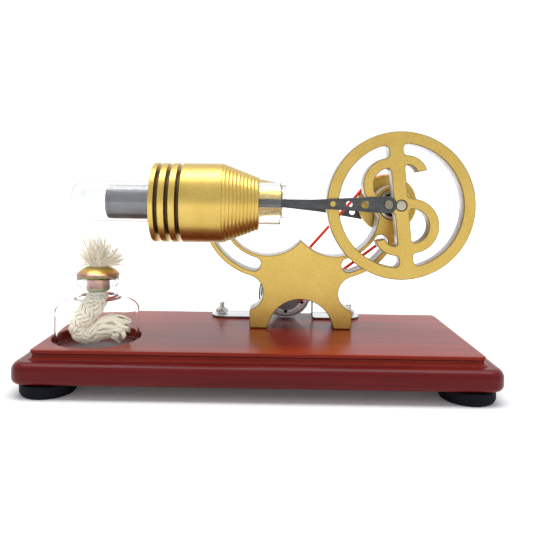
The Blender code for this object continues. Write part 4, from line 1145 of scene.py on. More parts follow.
def make_rods():
    """The two connecting rods, and the pins that belong to them."""
    make_rod("front_rod", crossways("front_crank_pin")[0], 0.0)
    at, radius, length = crossways("front_wrist_pin")
    head, stem = length - 1 * MM, 1.2 * MM
    profile = [(0.0, length), (radius, length), (radius, head), (stem, head), (stem, 0.0), (0.0, 0.0)]
    pin = turned("front_wrist_pin_turned", profile, at, ALONG_Y, [STEEL], False, 0.0001, 40)
    stand_for(pin, "front_wrist_pin")
    at, radius, length = crossways("rear_crank_pin")
    wrist = crossways("power_wrist_pin")[0]
    make_rod("rear_rod", at, math.atan2(wrist.z - at.z, at.x - wrist.x))
    head = length - 1.1 * MM
    journal, stem, shank = head - 2.1 * MM, 1.5 * MM, 2.2 * MM
    profile = [(0.0, length), (radius, length), (radius, head), (stem, head)]
    profile += [(stem, journal), (shank, journal), (shank, 0.0), (0.0, 0.0)]
    pin = turned("rear_crank_pin_turned", profile, at, ALONG_Y, [STEEL], False, 0.00015, 40)
    stand_for(pin, "rear_crank_pin")


# Cylinders


def along_x(y):
    """Where a piece along X is placed, with its ends counted from the frame's origin."""
    return Vector((0.0, y, AXIS_Z))


def ridged(right, shoulder, end_radius, full_radius, ridges, depth):
    """Rounded ridges that grow from the small right end to the full shoulder."""
    points = []
    pitch = (right - shoulder) / ridges
    fall = (full_radius - end_radius) / ridges
    for step in range(ridges):
        for t in (0.03, 0.10, 0.22, 0.40, 0.60, 0.78, 0.90, 0.97):
            bulge = depth * (math.sin(math.pi * t) ** 0.45 - 1.0)
            points.append((end_radius + fall * (step + 0.85 * t) + bulge, right - pitch * (step + t)))
    return points


def make_cooler():
    """Three fins, then a ridged taper, with a bore for the hot tube and a seat for the port."""
    left, right, radius = lengthways("cooler")
    shoulder = right - 20.4 * MM
    end, bore, root = 15.3 * MM, 12.8 * MM, radius - 4.5 * MM
    fin, gap, first_groove = 3.6 * MM, 2.3 * MM, left + 2.85 * MM
    points = [(end - 0.0006, right)] + ridged(right - 0.0001, shoulder, end, radius, 10, 0.0006)
    points.append((radius, shoulder - 0.0002))
    for number in (2, 1, 0):
        low = first_groove + number * (fin + gap)
        points += [(radius, low + gap), (root, low + gap), (root, low), (radius, low)]
    points += [(radius, left), (bore, left), (bore, right)]

    def paint_of(r, h):
        """Painted shade low in the grooves between the fins."""
        return 1 if bore + 0.0002 < r < radius - 0.0023 and left + 0.001 < h < left + 18 * MM else 0

    at, paints = along_x(FRONT_Y), [TURNED_GOLD, SHADED_GROOVE]
    cooler = turned("cooler_turned", points, at, ALONG_X, paints, True, 0.00035, 160, paint_of)
    link(cooler)
    port = port_cutter("cooler_port", PORT_RADIUS, FRONT_Y, 12 * MM)
    seat = port_cutter("cooler_seat", PORT_SEAT, 2.3 * MM, 12 * MM)
    carve(cooler, [port, seat])
    smooth_shading(cooler.data)
    stand_for(cooler, "cooler")


def port_cutter(name, radius, front, back):
    """A round cut along Y at the port between the two cylinders."""
    # The cutter is given the dark groove material, painted shade for the port
    return plug(name, radius, front, back, (PORT_X, 0.0, AXIS_Z), ALONG_Y, SHADED_GROOVE, 0.0, 48)


def make_hot_tube():
    """A glass tube with a domed end on the left and a polished lip on the right."""
    left, right, radius = lengthways("hot_tube")
    wall, corner, polish = 1.2 * MM, 8.0 * MM, 0.3 * MM
    bore, flat, inside = radius - wall, radius - corner, corner - wall
    centre = left + corner
    turns = sweep(14)
    inner = [(flat + inside * math.cos(a), centre - inside * math.sin(a)) for a in reversed(turns)]
    outer = [(flat + corner * math.cos(a), centre - corner * math.sin(a)) for a in turns]
    lip = [(bore, right - polish), (bore + polish, right)]
    lip += [(radius - polish, right), (radius, right - polish)]
    profile = [(0.0, left + wall)] + inner + lip + outer + [(0.0, left)]
    tube = turned("hot_tube_blown", profile, along_x(FRONT_Y), ALONG_X, [TUBE_GLASS], False, 0.0, 128)
    stand_for(tube, "hot_tube")


def make_rod_guide():
    bored_bar("rod_guide_turned", "rod_guide", CRANK_BORE, STEEL, 0.0005)
    bored_bar("rod_bush_turned", "rod_guide_bush", ROD_BORE, BRASS, 0.0003)


def make_displacer():
    """A thin cup with a shallow line rolled round it near its closed end, its plug and its rod."""
    left, right, radius = lengthways("displacer")
    wall, corner, ease, line = 0.6 * MM, 1.2 * MM, 0.8 * MM, 0.22 * MM
    flat = radius - corner
    floor = left + wall
    outer = [(flat + corner * math.cos(a), left + corner * (1 - math.sin(a))) for a in sweep(8)]
    inside = [(0.0, floor), (radius - wall - ease, floor), (radius - wall, floor + ease)]
    mouth = [(radius - wall, right), (radius, right)]
    bead = [(radius, left + 3.0 * MM), (radius - line, left + 2.7 * MM)]
    bead += [(radius - line, left + 2.3 * MM), (radius, left + 2.0 * MM)]
    profile = inside + mouth + bead + outer + [(0.0, left)]
    cup = turned("displacer_drawn", profile, along_x(FRONT_Y), ALONG_X, [GREY], False, 0.0, 96)
    stand_for(cup, "displacer")
    bored_bar("displacer_plug_turned", "displacer_plug", ROD_BORE, STEEL)
    start = lengthways("displacer_rod")[0]
    eye = middle("front_wrist_pin")
    stem = plug("displacer_rod_ground", 1.0 * MM, start, eye.x - 0.0016, along_x(FRONT_Y), ALONG_X, STEEL)
    stand_for(stem, "displacer_rod")
    half = 0.99 * MM
    lug = plug("displacer_rod_eye", 2.2 * MM, -half, half, (eye.x, FRONT_Y, eye.z), ALONG_Y, STEEL)
    add_to(lug, "displacer_rod")


def make_jacket():
    """The rear cylinder's jacket, with a ridged taper on its right end."""
    left, right, radius = lengthways("power_jacket")
    end, bore = 12.5 * MM, 11.5 * MM
    shoulder = right - 28.6 * MM
    points = [(end - 0.0004, right)] + ridged(right - 0.0001, shoulder, end, radius, 14, 0.0003)
    points += [(radius, shoulder - 0.3 * MM), (radius, left), (bore, left), (bore, right)]
    at = along_x(REAR_Y)
    jacket = turned("power_jacket_turned", points, at, ALONG_X, [TURNED_GOLD], True, 0.0003, 144)
    link(jacket)
    port = port_cutter("jacket_port", PORT_RADIUS, 12 * MM, REAR_Y)
    seat = port_cutter("jacket_seat", PORT_SEAT, 12 * MM, 20.7 * MM)
    carve(jacket, [port, seat])
    smooth_shading(jacket.data)
    stand_for(jacket, "power_jacket")


def make_power_glass():
    """The rear cylinder's glass barrel, and the steel head whose spigot closes its left end."""
    at, outer = along_x(REAR_Y), 11.2 * MM
    left, right, _ = lengthways("power_glass")
    barrel = ring("power_glass_ground", 9.7 * MM, outer, left, right, at, ALONG_X, TUBE_GLASS, 0.0003, 128)
    stand_for(barrel, "power_glass")
    spigot, flange = 9.4 * MM, left - 0.3 * MM
    left, right, _ = lengthways("power_head")
    profile = [(0.0, right), (spigot, right), (spigot, flange)]
    profile += [(outer, flange), (outer, left), (0.0, left)]
    stand_for(turned("power_head_turned", profile, at, ALONG_X, [STEEL], False, 0.0003, 96), "power_head")


def make_piston():
    """The graphite piston, with two ears that hold its wrist pin."""
    wrist = crossways("power_wrist_pin")[0]
    left, _, radius = lengthways("power_piston")
    crown = wrist.x - 5.0 * MM
    body = plug("power_piston_turned", radius, left, crown, along_x(REAR_Y), ALONG_X, GRAPHITE, 0.0005, 96)
    stand_for(body, "power_piston")
    end, root, thick = 3.0 * MM, -5.2 * MM, 1.5 * MM
    ear = arc((0, 0), end, -math.pi / 2, math.pi / 2, 20) + [(root, end), (root, -end)]
    outlines = [ear, circle((0, 0), 1.5 * MM, 24)]
    for side in (-1, 1):
        at = (wrist.x, REAR_Y + side * 1.8 * MM, AXIS_Z)
        name = f"piston_ear_{side + 2}"
        add_to(flat_solid(name, outlines, thick, 0.0001, at, GRAPHITE, GRAPHITE), "power_piston")


# Generator, strap and belt

CAN_WALL = 0.8 * MM
SHAFT_HOLE = 1.3 * MM
STUD_RADIUS = 1.9 * MM
THREAD_PITCH = 0.7 * MM
THREAD_DEPTH = 0.35 * MM


def on_face(radius, degrees):
    """A point in X and Z on the generator's front, round its axis."""
    angle = math.radians(degrees)
    return MOTOR.x + radius * math.cos(angle), MOTOR.z + radius * math.sin(angle)


def make_can():
    """The drawn can, open in front, with a small boss at the back for its bearing."""
    radius = (CAN_HIGH.x - CAN_LOW.x) / 2
    bore, boss, corner = SHAFT_HOLE, 4.5 * MM, 1 * MM
    end = CAN_HIGH.y
    back = end - 1.5 * MM
    inside = back - CAN_WALL
    can = [
        (bore, inside),
        (bore, end),
        (boss, end),
        (boss, back),
        (radius - corner, back),
        (radius, back - corner),
        (radius, CAN_LOW.y),
        (radius - CAN_WALL, CAN_LOW.y),
        (radius - CAN_WALL, inside),
    ]
    at = (MOTOR.x, 0.0, MOTOR.z)
    shell = turned("generator_can_drawn", can, at, ALONG_Y, [CHROME], True, 0.0004, 128)
    stand_for(shell, "generator_can")


def make_face():
    """The pressed front with its two ring-shaped steps, its boss and six vents."""
    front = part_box("generator_face")[0].y
    rim = (CAN_HIGH.x - CAN_LOW.x) / 2 - CAN_WALL - 0.3 * MM
    step, boss, back = front + 0.35 * MM, front - 0.8 * MM, front + 1.6 * MM
    face = [
        (rim, back),
        (rim, front + 0.1 * MM),
        (rim - 0.9 * MM, front),
        (10.6 * MM, front),
        (10.2 * MM, step),
        (7.4 * MM, step),
        (7.0 * MM, front),
        (5.4 * MM, front),
        (5.2 * MM, step),
        (3.2 * MM, step),
        (3.0 * MM, boss),
        (SHAFT_HOLE, boss),
        (SHAFT_HOLE, back),
    ]
    at = (MOTOR.x, 0.0, MOTOR.z)
    plate = turned("generator_face_pressed", face, at, ALONG_Y, [STEEL], True, 0.0002, 144)
    link(plate)
    cutters = []
    for number in range(6):
        x, z = on_face(12.5 * MM, 30 + 60 * number)
        size = (1.2 * MM, front - 2 * MM, front + 4 * MM)
        cutters.append(plug(f"vent_{number}", *size, (x, 0, z), ALONG_Y, STEEL, 0.0, 24))
    carve(plate, cutters)
    smooth_shading(plate.data)
    stand_for(plate, "generator_face")


def make_terminals():
    """Two black terminals on the generator's front, each with a steel pin."""
    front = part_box("generator_face")[0].y
    length = 0.9 * MM
    profile = [(0.0, length), (1.7 * MM, length), (1.7 * MM, 0.2 * MM), (1.4 * MM, 0.0), (0.0, 0.0)]
    for number, degrees in ((1, 55), (2, 235)):
        x, z = on_face(9.0 * MM, degrees)
        at = (x, front - 0.4 * MM, z)
        boss = turned(f"terminal_{number}", profile, at, ALONG_Y, [BLACK], False, 0.0002, 40)
        add_to(boss, "generator_face")
        at = (x, front - 0.55 * MM, z)
        pin = plug(f"terminal_pin_{number}", 0.55 * MM, 0.0, length, at, ALONG_Y, STEEL, 0.0001, 24)
        add_to(pin, "generator_face")


def make_rotor():
    """The generator's pulley and shaft."""
    at, radius, length = crossways("generator_pulley")
    section = grooved(radius, SHAFT_HOLE, 7.7 * MM, length, BELT_Y - at.y)
    pulley = turned("generator_pulley_turned", section, at, ALONG_Y, [GREY], True, 0.0003, 96)
    stand_for(pulley, "generator_pulley")
    at, radius, length = crossways("generator_shaft")
    shaft = plug("generator_shaft_ground", radius, 0.0, length, at, ALONG_Y, STEEL, 0.0002, 32)
    stand_for(shaft, "generator_shaft")


def strap_outline(reach, floor, inner, thick):
    """The strap seen along Y: two feet at floor level, small bends, and a half circle over the can."""
    bend = 1.6 * MM

    def band(radius, level, corner):
        side = arc((radius + corner, level + corner), corner, -math.pi / 2, -math.pi, 8)
        other = [(-x, y) for x, y in reversed(side)]
        return [(reach, level)] + side + arc((0, 0), radius, 0.0, math.pi, 80) + other + [(-reach, level)]

    return band(inner, floor, bend + thick) + band(inner + thick, floor + thick, bend)[::-1]


def make_strap():
    """A band bent over the generator, then cut to round ends."""
    low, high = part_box("generator_strap")
    thick = 1.0 * MM
    half = (high.y - low.y) / 2
    reach = (high.x - low.x) / 2
    inner = (CAN_HIGH.x - CAN_LOW.x) / 2 + 0.3 * MM
    outline = strap_outline(reach, low.z - MOTOR.z, inner, thick)
    at = (MOTOR.x, (low.y + high.y) / 2, MOTOR.z)
    strap = flat_solid("strap_bent", [outline], 2 * half, 0.0001, at, STRAP_EDGE, CHROME)
    link(strap)
    straight, round_end = reach - half, half + 0.00001
    ends = arc((straight, 0), round_end, -math.pi / 2, math.pi / 2, 40)
    ends += arc((-straight, 0), round_end, math.pi / 2, 3 * math.pi / 2, 40)
    plan = flat_solid("strap_plan", [ends], 0.1, 0.0001, at, CHROME, STRAP_EDGE, ALONG_Z)
    carve(strap, [plan], "INTERSECT")
    soften = strap.modifiers.new("soften", "BEVEL")
    soften.width = 0.0002
    soften.segments = 2
    soften.limit_method = "ANGLE"
    soften.angle_limit = math.radians(50)
    bake(strap)
    smooth_shading(strap.data, 35)
    stand_for(strap, "generator_strap")
    for side in ("left", "right"):
        make_stud(side)
        make_nut(side)


def make_stud(side):
    """A screw from below the board, with its thread showing above the nut."""
    node = f"strap_bolt_{side}"
    low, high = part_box(node)
    radius, chamfer = STUD_RADIUS, 0.5 * MM
    nut_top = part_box(f"strap_nut_{side}")[1].z
    profile = [(0.0, high.z), (radius - chamfer, high.z), (radius, high.z - chamfer)]
    for number in range(int((high.z - nut_top) / THREAD_PITCH)):
        crest = high.z - 0.6 * MM - number * THREAD_PITCH
        profile += [(radius, crest), (radius - THREAD_DEPTH, crest - 0.5 * THREAD_PITCH)]
    head = HEAD_LEVEL - 0.3 * MM
    profile += [(radius, nut_top - 0.3 * MM), (radius, head)]
    profile += [(2 * radius, head), (2 * radius, low.z), (0.0, low.z)]
    stud = turned(f"stud_{side}_threaded", profile, footprint(node), ALONG_Z, [STEEL], False, 0.0, 48)
    stand_for(stud, node)


def hexagon(name, node, bore, paint, soft, corner, drop):
    """A hexagon in a node's place, chamfered from that share of its half width down by drop."""
    low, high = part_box(node)
    at, half, across = middle(node), (high.z - low.z) / 2, high.x - low.x
    outline = circle((0, 0), across / 2, 6)
    if soft:
        outline = softened_outline(outline, 1.6 * MM, 0.25 * MM)
    body = flat_solid(name, [outline, bore], 2 * half, 0.0001, at, paint, paint, ALONG_Z)
    link(body)
    flat, wide, above = corner * across / 2, 1.02 * across / 2, half + 0.1 * MM
    dome = [(0.0, above), (flat, above), (wide, half - drop)]
    dome += [(radius, -height) for radius, height in reversed(dome)]
    carve(body, [turned(f"{node}_dome", dome, at, ALONG_Z, [paint], False, 0.0, 96)], "INTERSECT")
    smooth_shading(body.data, 25)
    stand_for(body, node)


def make_nut(side):
    bore = circle((0, 0), 2.2 * MM, 32)
    hexagon(f"nut_{side}_cut", f"strap_nut_{side}", bore, STEEL, False, 0.84, 0.7 * MM)


def swept(path, radius_at, sides, closed=False):
    """A tube along a path, with a UV map that runs u along it and v round it."""
    count = len(path)
    vertices, faces, along = [], [], [0.0]
    for a, b in zip(path, path[1:]):
        along.append(along[-1] + (b - a).length)
    ahead = (path[1] - path[0]).normalized()
    side = ahead.orthogonal().normalized()
    for i, point in enumerate(path):
        before = path[i - 1] if i or closed else path[0]
        after = path[(i + 1) % count] if i < count - 1 or closed else path[-1]
        ahead = (after - before).normalized()
        side = (side - side.dot(ahead) * ahead).normalized()
        across = ahead.cross(side)
        radius = radius_at(i / (count - 1))
        for k in range(sides):
            angle = 2 * math.pi * k / sides
            vertices.append(point + (side * math.cos(angle) + across * math.sin(angle)) * radius)
    spans = count if closed else count - 1
    uvs = []
    total = along[-1]
    for i in range(spans):
        j = (i + 1) % count
        for k in range(sides):
            n = (k + 1) % sides
            faces.append((i * sides + k, i * sides + n, j * sides + n, j * sides + k))
            end = along[i + 1] if i + 1 < count else total
            low, high = k / sides, (k + 1) / sides
            uvs += [(along[i], low), (along[i], high), (end, high), (end, low)]
    if not closed:
        faces.append(tuple(range(sides - 1, -1, -1)))
        faces.append(tuple((count - 1) * sides + k for k in range(sides)))
        uvs += [(0.0, 0.0)] * (2 * sides)
    return vertices, faces, uvs


def make_belt():
    """A round belt: an arc on each pulley, joined by straight runs."""
    disc, pulley = Vector((SHAFT.x, AXIS_Z)), Vector((MOTOR.x, MOTOR.z))
    on_disc, on_pulley, half_thick = 18.5 * MM, 9.0 * MM, 1 * MM
    run = disc - pulley
    along = math.atan2(run.y, run.x)
    lean = math.acos((on_pulley - on_disc) / run.length)
    points = arc(disc, on_disc, along - lean, along + lean, 90)
    low = arc(pulley, on_pulley, along + lean, along - lean + 2 * math.pi, 60)
    points += [tuple(Vector(points[-1]).lerp(Vector(low[0]), t)) for t in (0.25, 0.5, 0.75)] + low
    points += [tuple(Vector(low[-1]).lerp(Vector(points[0]), t)) for t in (0.25, 0.5, 0.75)]
    path = [Vector((x, BELT_Y, z)) for x, z in points]
    vertices, faces, _ = swept(path, lambda t: half_thick, 20, True)
    stand_for(mesh_piece("drive_belt_moulded", vertices, faces, RED), "drive_belt")


def mesh_piece(name, vertices, faces, material, uvs=None):
    """An object made from plain lists, with its UV map if it has one."""
    mesh = bpy.data.meshes.new(name)
    mesh.from_pydata([tuple(v) for v in vertices], [], faces)
    mesh.materials.append(material)
    if uvs:
        layer = mesh.uv_layers.new(name="along")
        layer.data.foreach_set("uv", [c for uv in uvs for c in uv])
    smooth_shading(mesh, 50)
    return bpy.data.objects.new(name, mesh)


# Spirit lamp


def lamp_point(x, y, height):
    """A point on the lamp, counted from its axis and from the top of the board."""
    return Vector((LAMP.x + x, LAMP.y + y, BASE_TOP + height))


def make_bottle():
    """The bottle from the middle of its floor up the inside, over the lip and down the outside."""
    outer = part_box("lamp_bottle")[1].x - LAMP.x
    inner = outer - 1.6 * MM
    profile = [
        (0.0, -3.6 * MM),
        (12.0 * MM, -3.9 * MM),
        (19.3 * MM, -4.2 * MM),
        (inner, -1.6 * MM),
        (inner, 16.0 * MM),
        (19.8 * MM, 18.2 * MM),
        (11.5 * MM, 20.4 * MM),
        (10.2 * MM, 22.0 * MM),
        (10.0 * MM, 24.0 * MM),
        (10.0 * MM, 34.6 * MM),
        (12.1 * MM, 34.6 * MM),
        (12.2 * MM, 30.8 * MM),
        (11.4 * MM, 29.9 * MM),
        (11.4 * MM, 24.6 * MM),
        (12.2 * MM, 23.2 * MM),
        (13.6 * MM, 22.4 * MM),
        (20.0 * MM, 20.4 * MM),
        (22.2 * MM, 19.0 * MM),
        (outer, 16.6 * MM),
        (outer, -3.8 * MM),
        (21.2 * MM, -6.0 * MM),
        (15.0 * MM, -5.8 * MM),
        (0.0, -5.4 * MM),
    ]
    at = (LAMP.x, LAMP.y, BASE_TOP)

    def paint_of(r, h):
        """The neck's glass above the shoulder."""
        return 1 if h > 21.8 * MM else 0

    paints = [BODY_GLASS, NECK_GLASS]
    bottle = turned("lamp_bottle_blown", profile, at, ALONG_Z, paints, False, 0.0011, 144, paint_of)
    smooth_shading(bottle.data, 80)
    stand_for(bottle, "lamp_bottle")


def make_cap():
    """A pressed dome with a rolled rim and a turned-in mouth."""
    outer = (CAP_HIGH.x - CAP_LOW.x) / 2
    top, bottom = CAP_HIGH.z - BASE_TOP, CAP_LOW.z - BASE_TOP
    shoulder, fold, neck = 4.6 * MM, bottom + 1.0 * MM, 7.0 * MM
    width, height = outer - 0.35 * MM - shoulder, top - bottom - 2.0 * MM
    profile = [(WICK_MOUTH, top - 0.35 * MM)]
    for step in range(15):
        t = step / 14
        profile.append((shoulder + width * t, top - height * t**2.1))
    profile += [(outer, bottom + 1.3 * MM), (outer, bottom + 0.5 * MM), (outer - 0.3 * MM, bottom)]
    profile += [(outer - 1.0 * MM, bottom), (outer - 1.5 * MM, fold), (neck, fold), (neck, bottom)]
    profile.append((WICK_MOUTH, bottom))
    at = (LAMP.x, LAMP.y, BASE_TOP)
    stand_for(turned("lamp_cap_pressed", profile, at, ALONG_Z, [CAP_ZINC], True, 0.00025, 128), "lamp_cap")


def make_holder():
    mouth = circle((0, 0), WICK_MOUTH, 48)
    hexagon("wick_holder_cut", "wick_holder", mouth, HOLDER_ZINC, True, 0.80, 1.3 * MM)


def smooth_path(points, steps):
    """A Catmull-Rom curve through the points."""
    padded = [2 * points[0] - points[1]] + points + [2 * points[-1] - points[-2]]
    found = []
    for a, b, c, d in zip(padded, padded[1:], padded[2:], padded[3:]):
        square, cube = 2 * a - 5 * b + 4 * c - d, 3 * b - a - 3 * c + d
        for step in range(steps):
            t = step / steps
            found.append(0.5 * (2 * b + (c - a) * t + square * t**2 + cube * t**3))
    return found + [points[-1]]


# The rope's middle line from the cap's mouth to its cut end: across, back and up from the board, in mm
ROPE_ROUTE = [
    (0.0, 0.0, 28.6),
    (0.0, 0.0, 26.0),
    (-0.3, -0.3, 22.6),
    (-1.9, -0.9, 18.6),
    (-5.0, -1.6, 14.2),
    (-8.8, -2.0, 9.4),
    (-9.9, -2.1, 5.0),
    (-7.6, -1.9, 2.0),
    (-2.8, -1.5, 1.6),
    (2.2, -1.2, 3.8),
    (6.8, -1.0, 6.2),
    (11.4, -0.8, 6.2),
    (15.0, -0.6, 3.6),
]
ROPE_RADIUS = 5.0 * MM
YARNS_EACH_WAY = 12
BRAID_TURN = 40 * MM
PLY_RADIUS = 0.42 * MM


class Spine:
    """A smooth line with a frame that doesn't twist, read by its share from 0 to 1."""

    def __init__(self, points):
        self.points = points
        self.sides, self.ups, self.run = [], [], [0.0]
        for a, b in zip(points, points[1:]):
            self.run.append(self.run[-1] + (b - a).length)
        side = Vector((0.0, 1.0, 0.0))
        for i in range(len(points)):
            ahead = (points[min(i + 1, len(points) - 1)] - points[max(i - 1, 0)]).normalized()
            side = (side - side.dot(ahead) * ahead).normalized()
            self.sides.append(side)
            self.ups.append(ahead.cross(side))

    def at(self, share):
        place = min(max(share, 0.0), 1.0) * (len(self.points) - 1)
        i = min(int(place), len(self.points) - 2)
        t = place - i
        mixed = [row[i].lerp(row[i + 1], t) for row in (self.points, self.sides, self.ups)]
        if share > 1.0:
            ahead = (self.points[-1] - self.points[-2]).normalized()
            mixed[0] = mixed[0] + ahead * (share - 1.0) * self.run[-1]
        return mixed


class Bundle:
    """Many tubes gathered into one mesh."""

    def __init__(self):
        self.vertices, self.faces, self.uvs = [], [], []

    def tube(self, path, radius_at, sides):
        vertices, faces, uvs = swept(path, radius_at, sides)
        first = len(self.vertices)
        self.vertices += vertices
        self.faces += [tuple(first + i for i in face) for face in faces]
        self.uvs += uvs

    def piece(self, name, material):
        return mesh_piece(name, self.vertices, self.faces, material, self.uvs)


def ramp_up(value, start, length):
    """Nought up to start, then rising evenly to one over that length."""
    return min(max((value - start) / length, 0.0), 1.0)


def braided(bundle, spine, chance):
    """Yarns that spiral both ways, over two and under two, and come loose towards the far end."""
    samples = 120
    length = spine.run[-1]
    for way in (1, -1):
        for number in range(YARNS_EACH_WAY):
            reach = 1.0 + chance.uniform(-0.01, 0.06)
            drift = chance.uniform(-0.5, 0.5)
            for ply in (-1, 0, 1):
                path = []
                for i in range(samples):
                    share = reach * i / (samples - 1)
                    centre, side, up = spine.at(share)
                    loose = ramp_up(share, 0.60, 0.30)
                    eased = share - 0.45 * max(share - 0.60, 0.0) * loose
                    phase = 2 * math.pi * eased * length / BRAID_TURN
                    narrow = 0.62 + 0.38 * min(share / 0.13, 1.0)
                    swell = 1.0 + 0.10 * math.sin(5.0 * share + 0.6) + 0.34 * ramp_up(share, 0.66, 0.20)
                    around = way * phase + 2 * math.pi * number / YARNS_EACH_WAY + drift * 0.35 * loose
                    around += ply * 0.115 + 0.03 * math.sin(37 * share + number)
                    weave = way * math.cos(YARNS_EACH_WAY * phase / 2 - math.pi / 4)
                    lift = 0.55 * MM * weave + (0.18 * MM if ply == 0 else 0.0)
                    lift += 0.25 * MM * loose * math.sin(11 * share + drift * 9 + ply)
                    radius = (ROPE_RADIUS * swell + lift) * narrow
                    path.append(centre + (side * math.cos(around) + up * math.sin(around)) * radius)
                thick = PLY_RADIUS * chance.uniform(0.92, 1.08)
                bundle.tube(path, lambda t, thick=thick: thick * (0.75 + 0.25 * min(t / 0.13, 1.0)), 6)


def rope_core(bundle, spine):
    """The plain core that shows between the yarns."""
    path = [spine.at(0.02 + 0.95 * i / 60)[0] for i in range(61)]
    bundle.tube(path, lambda t: (ROPE_RADIUS - 0.35 * MM) * (0.62 + 0.38 * min(t / 0.13, 1.0)), 20)


def rope_end(bundle, spine, chance):
    """Cut fibres that spread a little from the rope's far end."""
    for _ in range(150):
        angle, out = chance.uniform(0, 2 * math.pi), math.sqrt(chance.random()) * ROPE_RADIUS
        start, reach = chance.uniform(0.88, 0.95), chance.uniform(0.02, 0.085)
        spread = chance.uniform(1.0, 1.28)
        bend = chance.uniform(-0.6, 0.6) * MM
        path = []
        for i in range(6):
            t = i / 5
            centre, side, up = spine.at(start + (reach + 0.05) * t)
            radius = out * (1.0 + (spread - 1.0) * t)
            sway = Vector((0.0, 0.0, -0.5 * MM * t * t))
            away = (side * math.cos(angle) + up * math.sin(angle)) * radius
            path.append(centre + away + side * bend * t * t + sway)
        bundle.tube(path, lambda t: 0.30 * MM * (1.0 - 0.7 * t), 5)


# Clumps of the frayed head: share of the fibres, sideways lean and its spread in degrees, length and its
# spread in mm
TUFT = (
    (0.36, -6.0, 13.0, 21.0, 2.2),
    (0.20, -38.0, 10.0, 13.5, 1.8),
    (0.12, 22.0, 9.0, 16.0, 2.0),
    (0.30, 52.0, 11.0, 16.0, 2.6),
    (0.02, -74.0, 6.0, 12.0, 1.0),
)
TUFT_FIBRES = 480
HEAD_RADIUS = 3.9 * MM
HEAD_FOOT = 39.6 * MM
HEAD_TOP = BASE_TOP + 61.8 * MM


def frayed_head(bundle, chance):
    """Fibres that stand out of the cap's mouth in clumps, none of them above the head's top."""
    for share, lean, lean_spread, length, length_spread in TUFT:
        for _ in range(int(TUFT_FIBRES * share)):
            tilt = math.radians(chance.gauss(lean, lean_spread))
            deep = math.radians(chance.gauss(0.0, 20.0))
            long = min(max(chance.gauss(length, length_spread), 5.0), 24.0) * MM
            around = chance.uniform(0, 2 * math.pi)
            out = HEAD_RADIUS * math.sqrt(chance.random())
            sideways = 0.75 * out * math.cos(around) + 1.6 * MM * math.sin(tilt)
            start = lamp_point(sideways, 0.9 * out * math.sin(around), HEAD_FOOT)
            heading = Vector((math.sin(tilt), math.sin(deep) * 0.8, math.cos(tilt) * math.cos(deep)))
            heading.normalize()
            droop = chance.uniform(0.02, 0.16) * abs(math.sin(tilt))
            curl = Vector((chance.gauss(0, 1), chance.gauss(0, 1), chance.gauss(0, 0.5))) * 0.055
            path = []
            for i in range(9):
                t = i / 8
                turned_out = Vector((0, 0, 1)).lerp(heading, min(1.0, 0.35 + 1.3 * t))
                bend = curl * math.sin(2.6 * t + around) * t - Vector((0, 0, droop * t * t))
                path.append(start + (turned_out * t + bend) * long)
            for point in path:
                point.z = min(point.z, HEAD_TOP)
            thick = chance.uniform(0.15, 0.27) * MM
            bundle.tube(path, lambda t, thick=thick: thick * (1.0 - 0.78 * t), 5)


def make_wick():
    chance = random.Random(7)
    route = [lamp_point(x * MM, y * MM, height * MM) for x, y, height in ROPE_ROUTE]
    spine = Spine(smooth_path(route, 10))
    rope = Bundle()
    rope_core(rope, spine)
    braided(rope, spine, chance)
    rope_end(rope, spine, chance)
    frayed_head(rope, chance)
    stand_for(rope.piece("wick_braided", COTTON), "wick")


# Small CAD pieces that stay as they are


def paint_kept_nodes():
    """Give each CAD piece that nothing replaces the material of its slot."""
    for node, obj in frame["nodes"].items():
        if obj.hide_render:
            continue
        obj.data.materials.clear()
        obj.data.materials.append(SLOT_PAINT[SLOT_OF[node]])
        smooth_shading(obj.data, 40)


# Studio

CAMERA_AT = (0.0052, -0.3465, 0.1122)
CAMERA_YAW = 0.0055
CAMERA_ROLL = 0.0143
CAMERA_LENS = 37.7
CAMERA_SHIFT = -0.1483
SKY_FRONT = 0.80
SKY_BACK = 1.0
SKY_DIFFUSE = 0.65
SKY_SEEN = 1.05
FLOOR_EDGE = 12.0


def make_camera():
    data = bpy.data.cameras.new("camera")
    data.lens = CAMERA_LENS
    data.sensor_width = 36.0
    data.shift_y = CAMERA_SHIFT
    data.clip_start = 0.01
    camera = bpy.data.objects.new("camera", data)
    link(camera)
    turn = Matrix.Rotation(CAMERA_YAW, 4, "Z") @ UPRIGHT @ Matrix.Rotation(CAMERA_ROLL, 4, "Z")
    camera.matrix_world = Matrix.Translation(CAMERA_AT) @ turn
    bpy.context.scene.camera = camera


def soft_light(name, at, size, energy):
    """A rectangular light that faces the object."""
    data = bpy.data.lights.new(name, "AREA")
    data.shape = "RECTANGLE"
    data.size, data.size_y = size
    data.energy = energy
    light = bpy.data.objects.new(name, data)
    light.location = at
    light.rotation_mode = "QUATERNION"
    light.rotation_quaternion = (Vector((0.0, 0.0, 0.06)) - Vector(at)).to_track_quat("-Z", "Y")
    link(light)


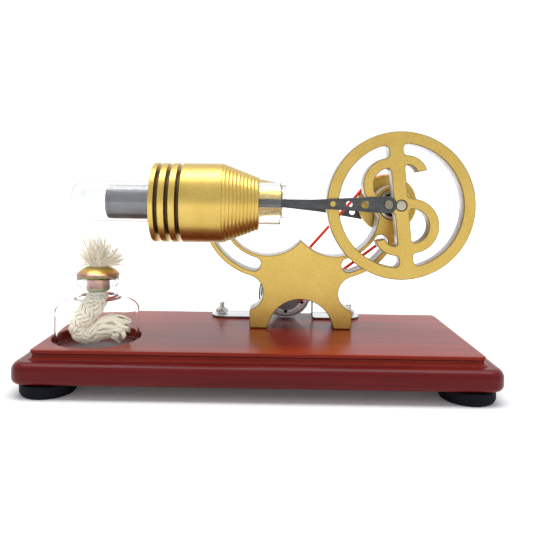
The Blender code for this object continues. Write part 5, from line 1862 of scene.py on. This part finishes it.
def make_sky():
    """White behind the object and through its glass, and dimmer for the light that falls on it."""
    world = bpy.data.worlds.new("studio")
    world.use_nodes = True
    tree = world.node_tree
    nodes, links = tree.nodes, tree.links
    background = nodes["Background"]
    path = nodes.new("ShaderNodeLightPath")
    place = nodes.new("ShaderNodeTexCoord")
    parts = nodes.new("ShaderNodeSeparateXYZ")
    links.new(place.outputs["Generated"], parts.inputs["Vector"])
    gloss = nodes.new("ShaderNodeMapRange")
    span = {"From Min": -1.0, "From Max": 0.4, "To Min": SKY_FRONT, "To Max": SKY_BACK}
    for socket, value in span.items():
        gloss.inputs[socket].default_value = value
    links.new(parts.outputs["Y"], gloss.inputs["Value"])
    spread = nodes.new("ShaderNodeMix")
    links.new(path.outputs["Is Diffuse Ray"], spread.inputs[0])
    links.new(gloss.outputs["Result"], spread.inputs[2])
    spread.inputs[3].default_value = SKY_DIFFUSE
    seen = nodes.new("ShaderNodeMath")
    seen.operation = "MAXIMUM"
    links.new(path.outputs["Is Camera Ray"], seen.inputs[0])
    links.new(path.outputs["Is Transmission Ray"], seen.inputs[1])
    strength = nodes.new("ShaderNodeMix")
    links.new(seen.outputs[0], strength.inputs[0])
    links.new(spread.outputs[0], strength.inputs[2])
    strength.inputs[3].default_value = SKY_SEEN
    links.new(strength.outputs[0], background.inputs["Strength"])
    background.inputs["Color"].default_value = (0.97, 0.985, 1.0, 1.0)
    bpy.context.scene.world = world


def make_floor():
    """A pale floor that turns to plain white away from the object."""
    mesh = bpy.data.meshes.new("floor")
    corners = [(-FLOOR_EDGE, -FLOOR_EDGE, 0), (FLOOR_EDGE, -FLOOR_EDGE, 0)]
    corners += [(FLOOR_EDGE, FLOOR_EDGE, 0), (-FLOOR_EDGE, FLOOR_EDGE, 0)]
    mesh.from_pydata(corners, [], [(0, 1, 2, 3)])
    paint = Paint("floor_paint", Roughness=0.6, Specular_IOR_Level=0.2)
    paint.colour(paint.ramp(paint.noise(3.0), [(0.3, (0.90, 0.90, 0.91)), (0.7, (0.92, 0.92, 0.93))]))
    away = paint.add("ShaderNodeVectorMath", {0: paint.place()}, operation="LENGTH").outputs["Value"]
    paint.shader.inputs["Emission Color"].default_value = (1.0, 1.0, 1.0, 1.0)
    paint.tree.links.new(paint.span(away, 0.04, 0.8, 0.15, 0.9), paint.shader.inputs["Emission Strength"])
    mesh.materials.append(paint.material)
    floor = bpy.data.objects.new("floor", mesh)
    link(floor)


def make_studio():
    make_sky()
    make_floor()
    soft_light("overhead", (0.0, -0.05, 1.5), (1.8, 0.7), 22.0)
    bpy.context.scene.view_settings.view_transform = "Standard"


make_camera()
make_studio()
make_board()
make_feet()
make_plate()
make_bearings()
make_flywheel()
make_crank()
make_disc()
make_rods()
make_cooler()
make_hot_tube()
make_rod_guide()
make_displacer()
make_jacket()
make_power_glass()
make_piston()
make_can()
make_face()
make_terminals()
make_rotor()
make_strap()
make_belt()
make_bottle()
make_cap()
make_holder()
make_wick()
paint_kept_nodes()
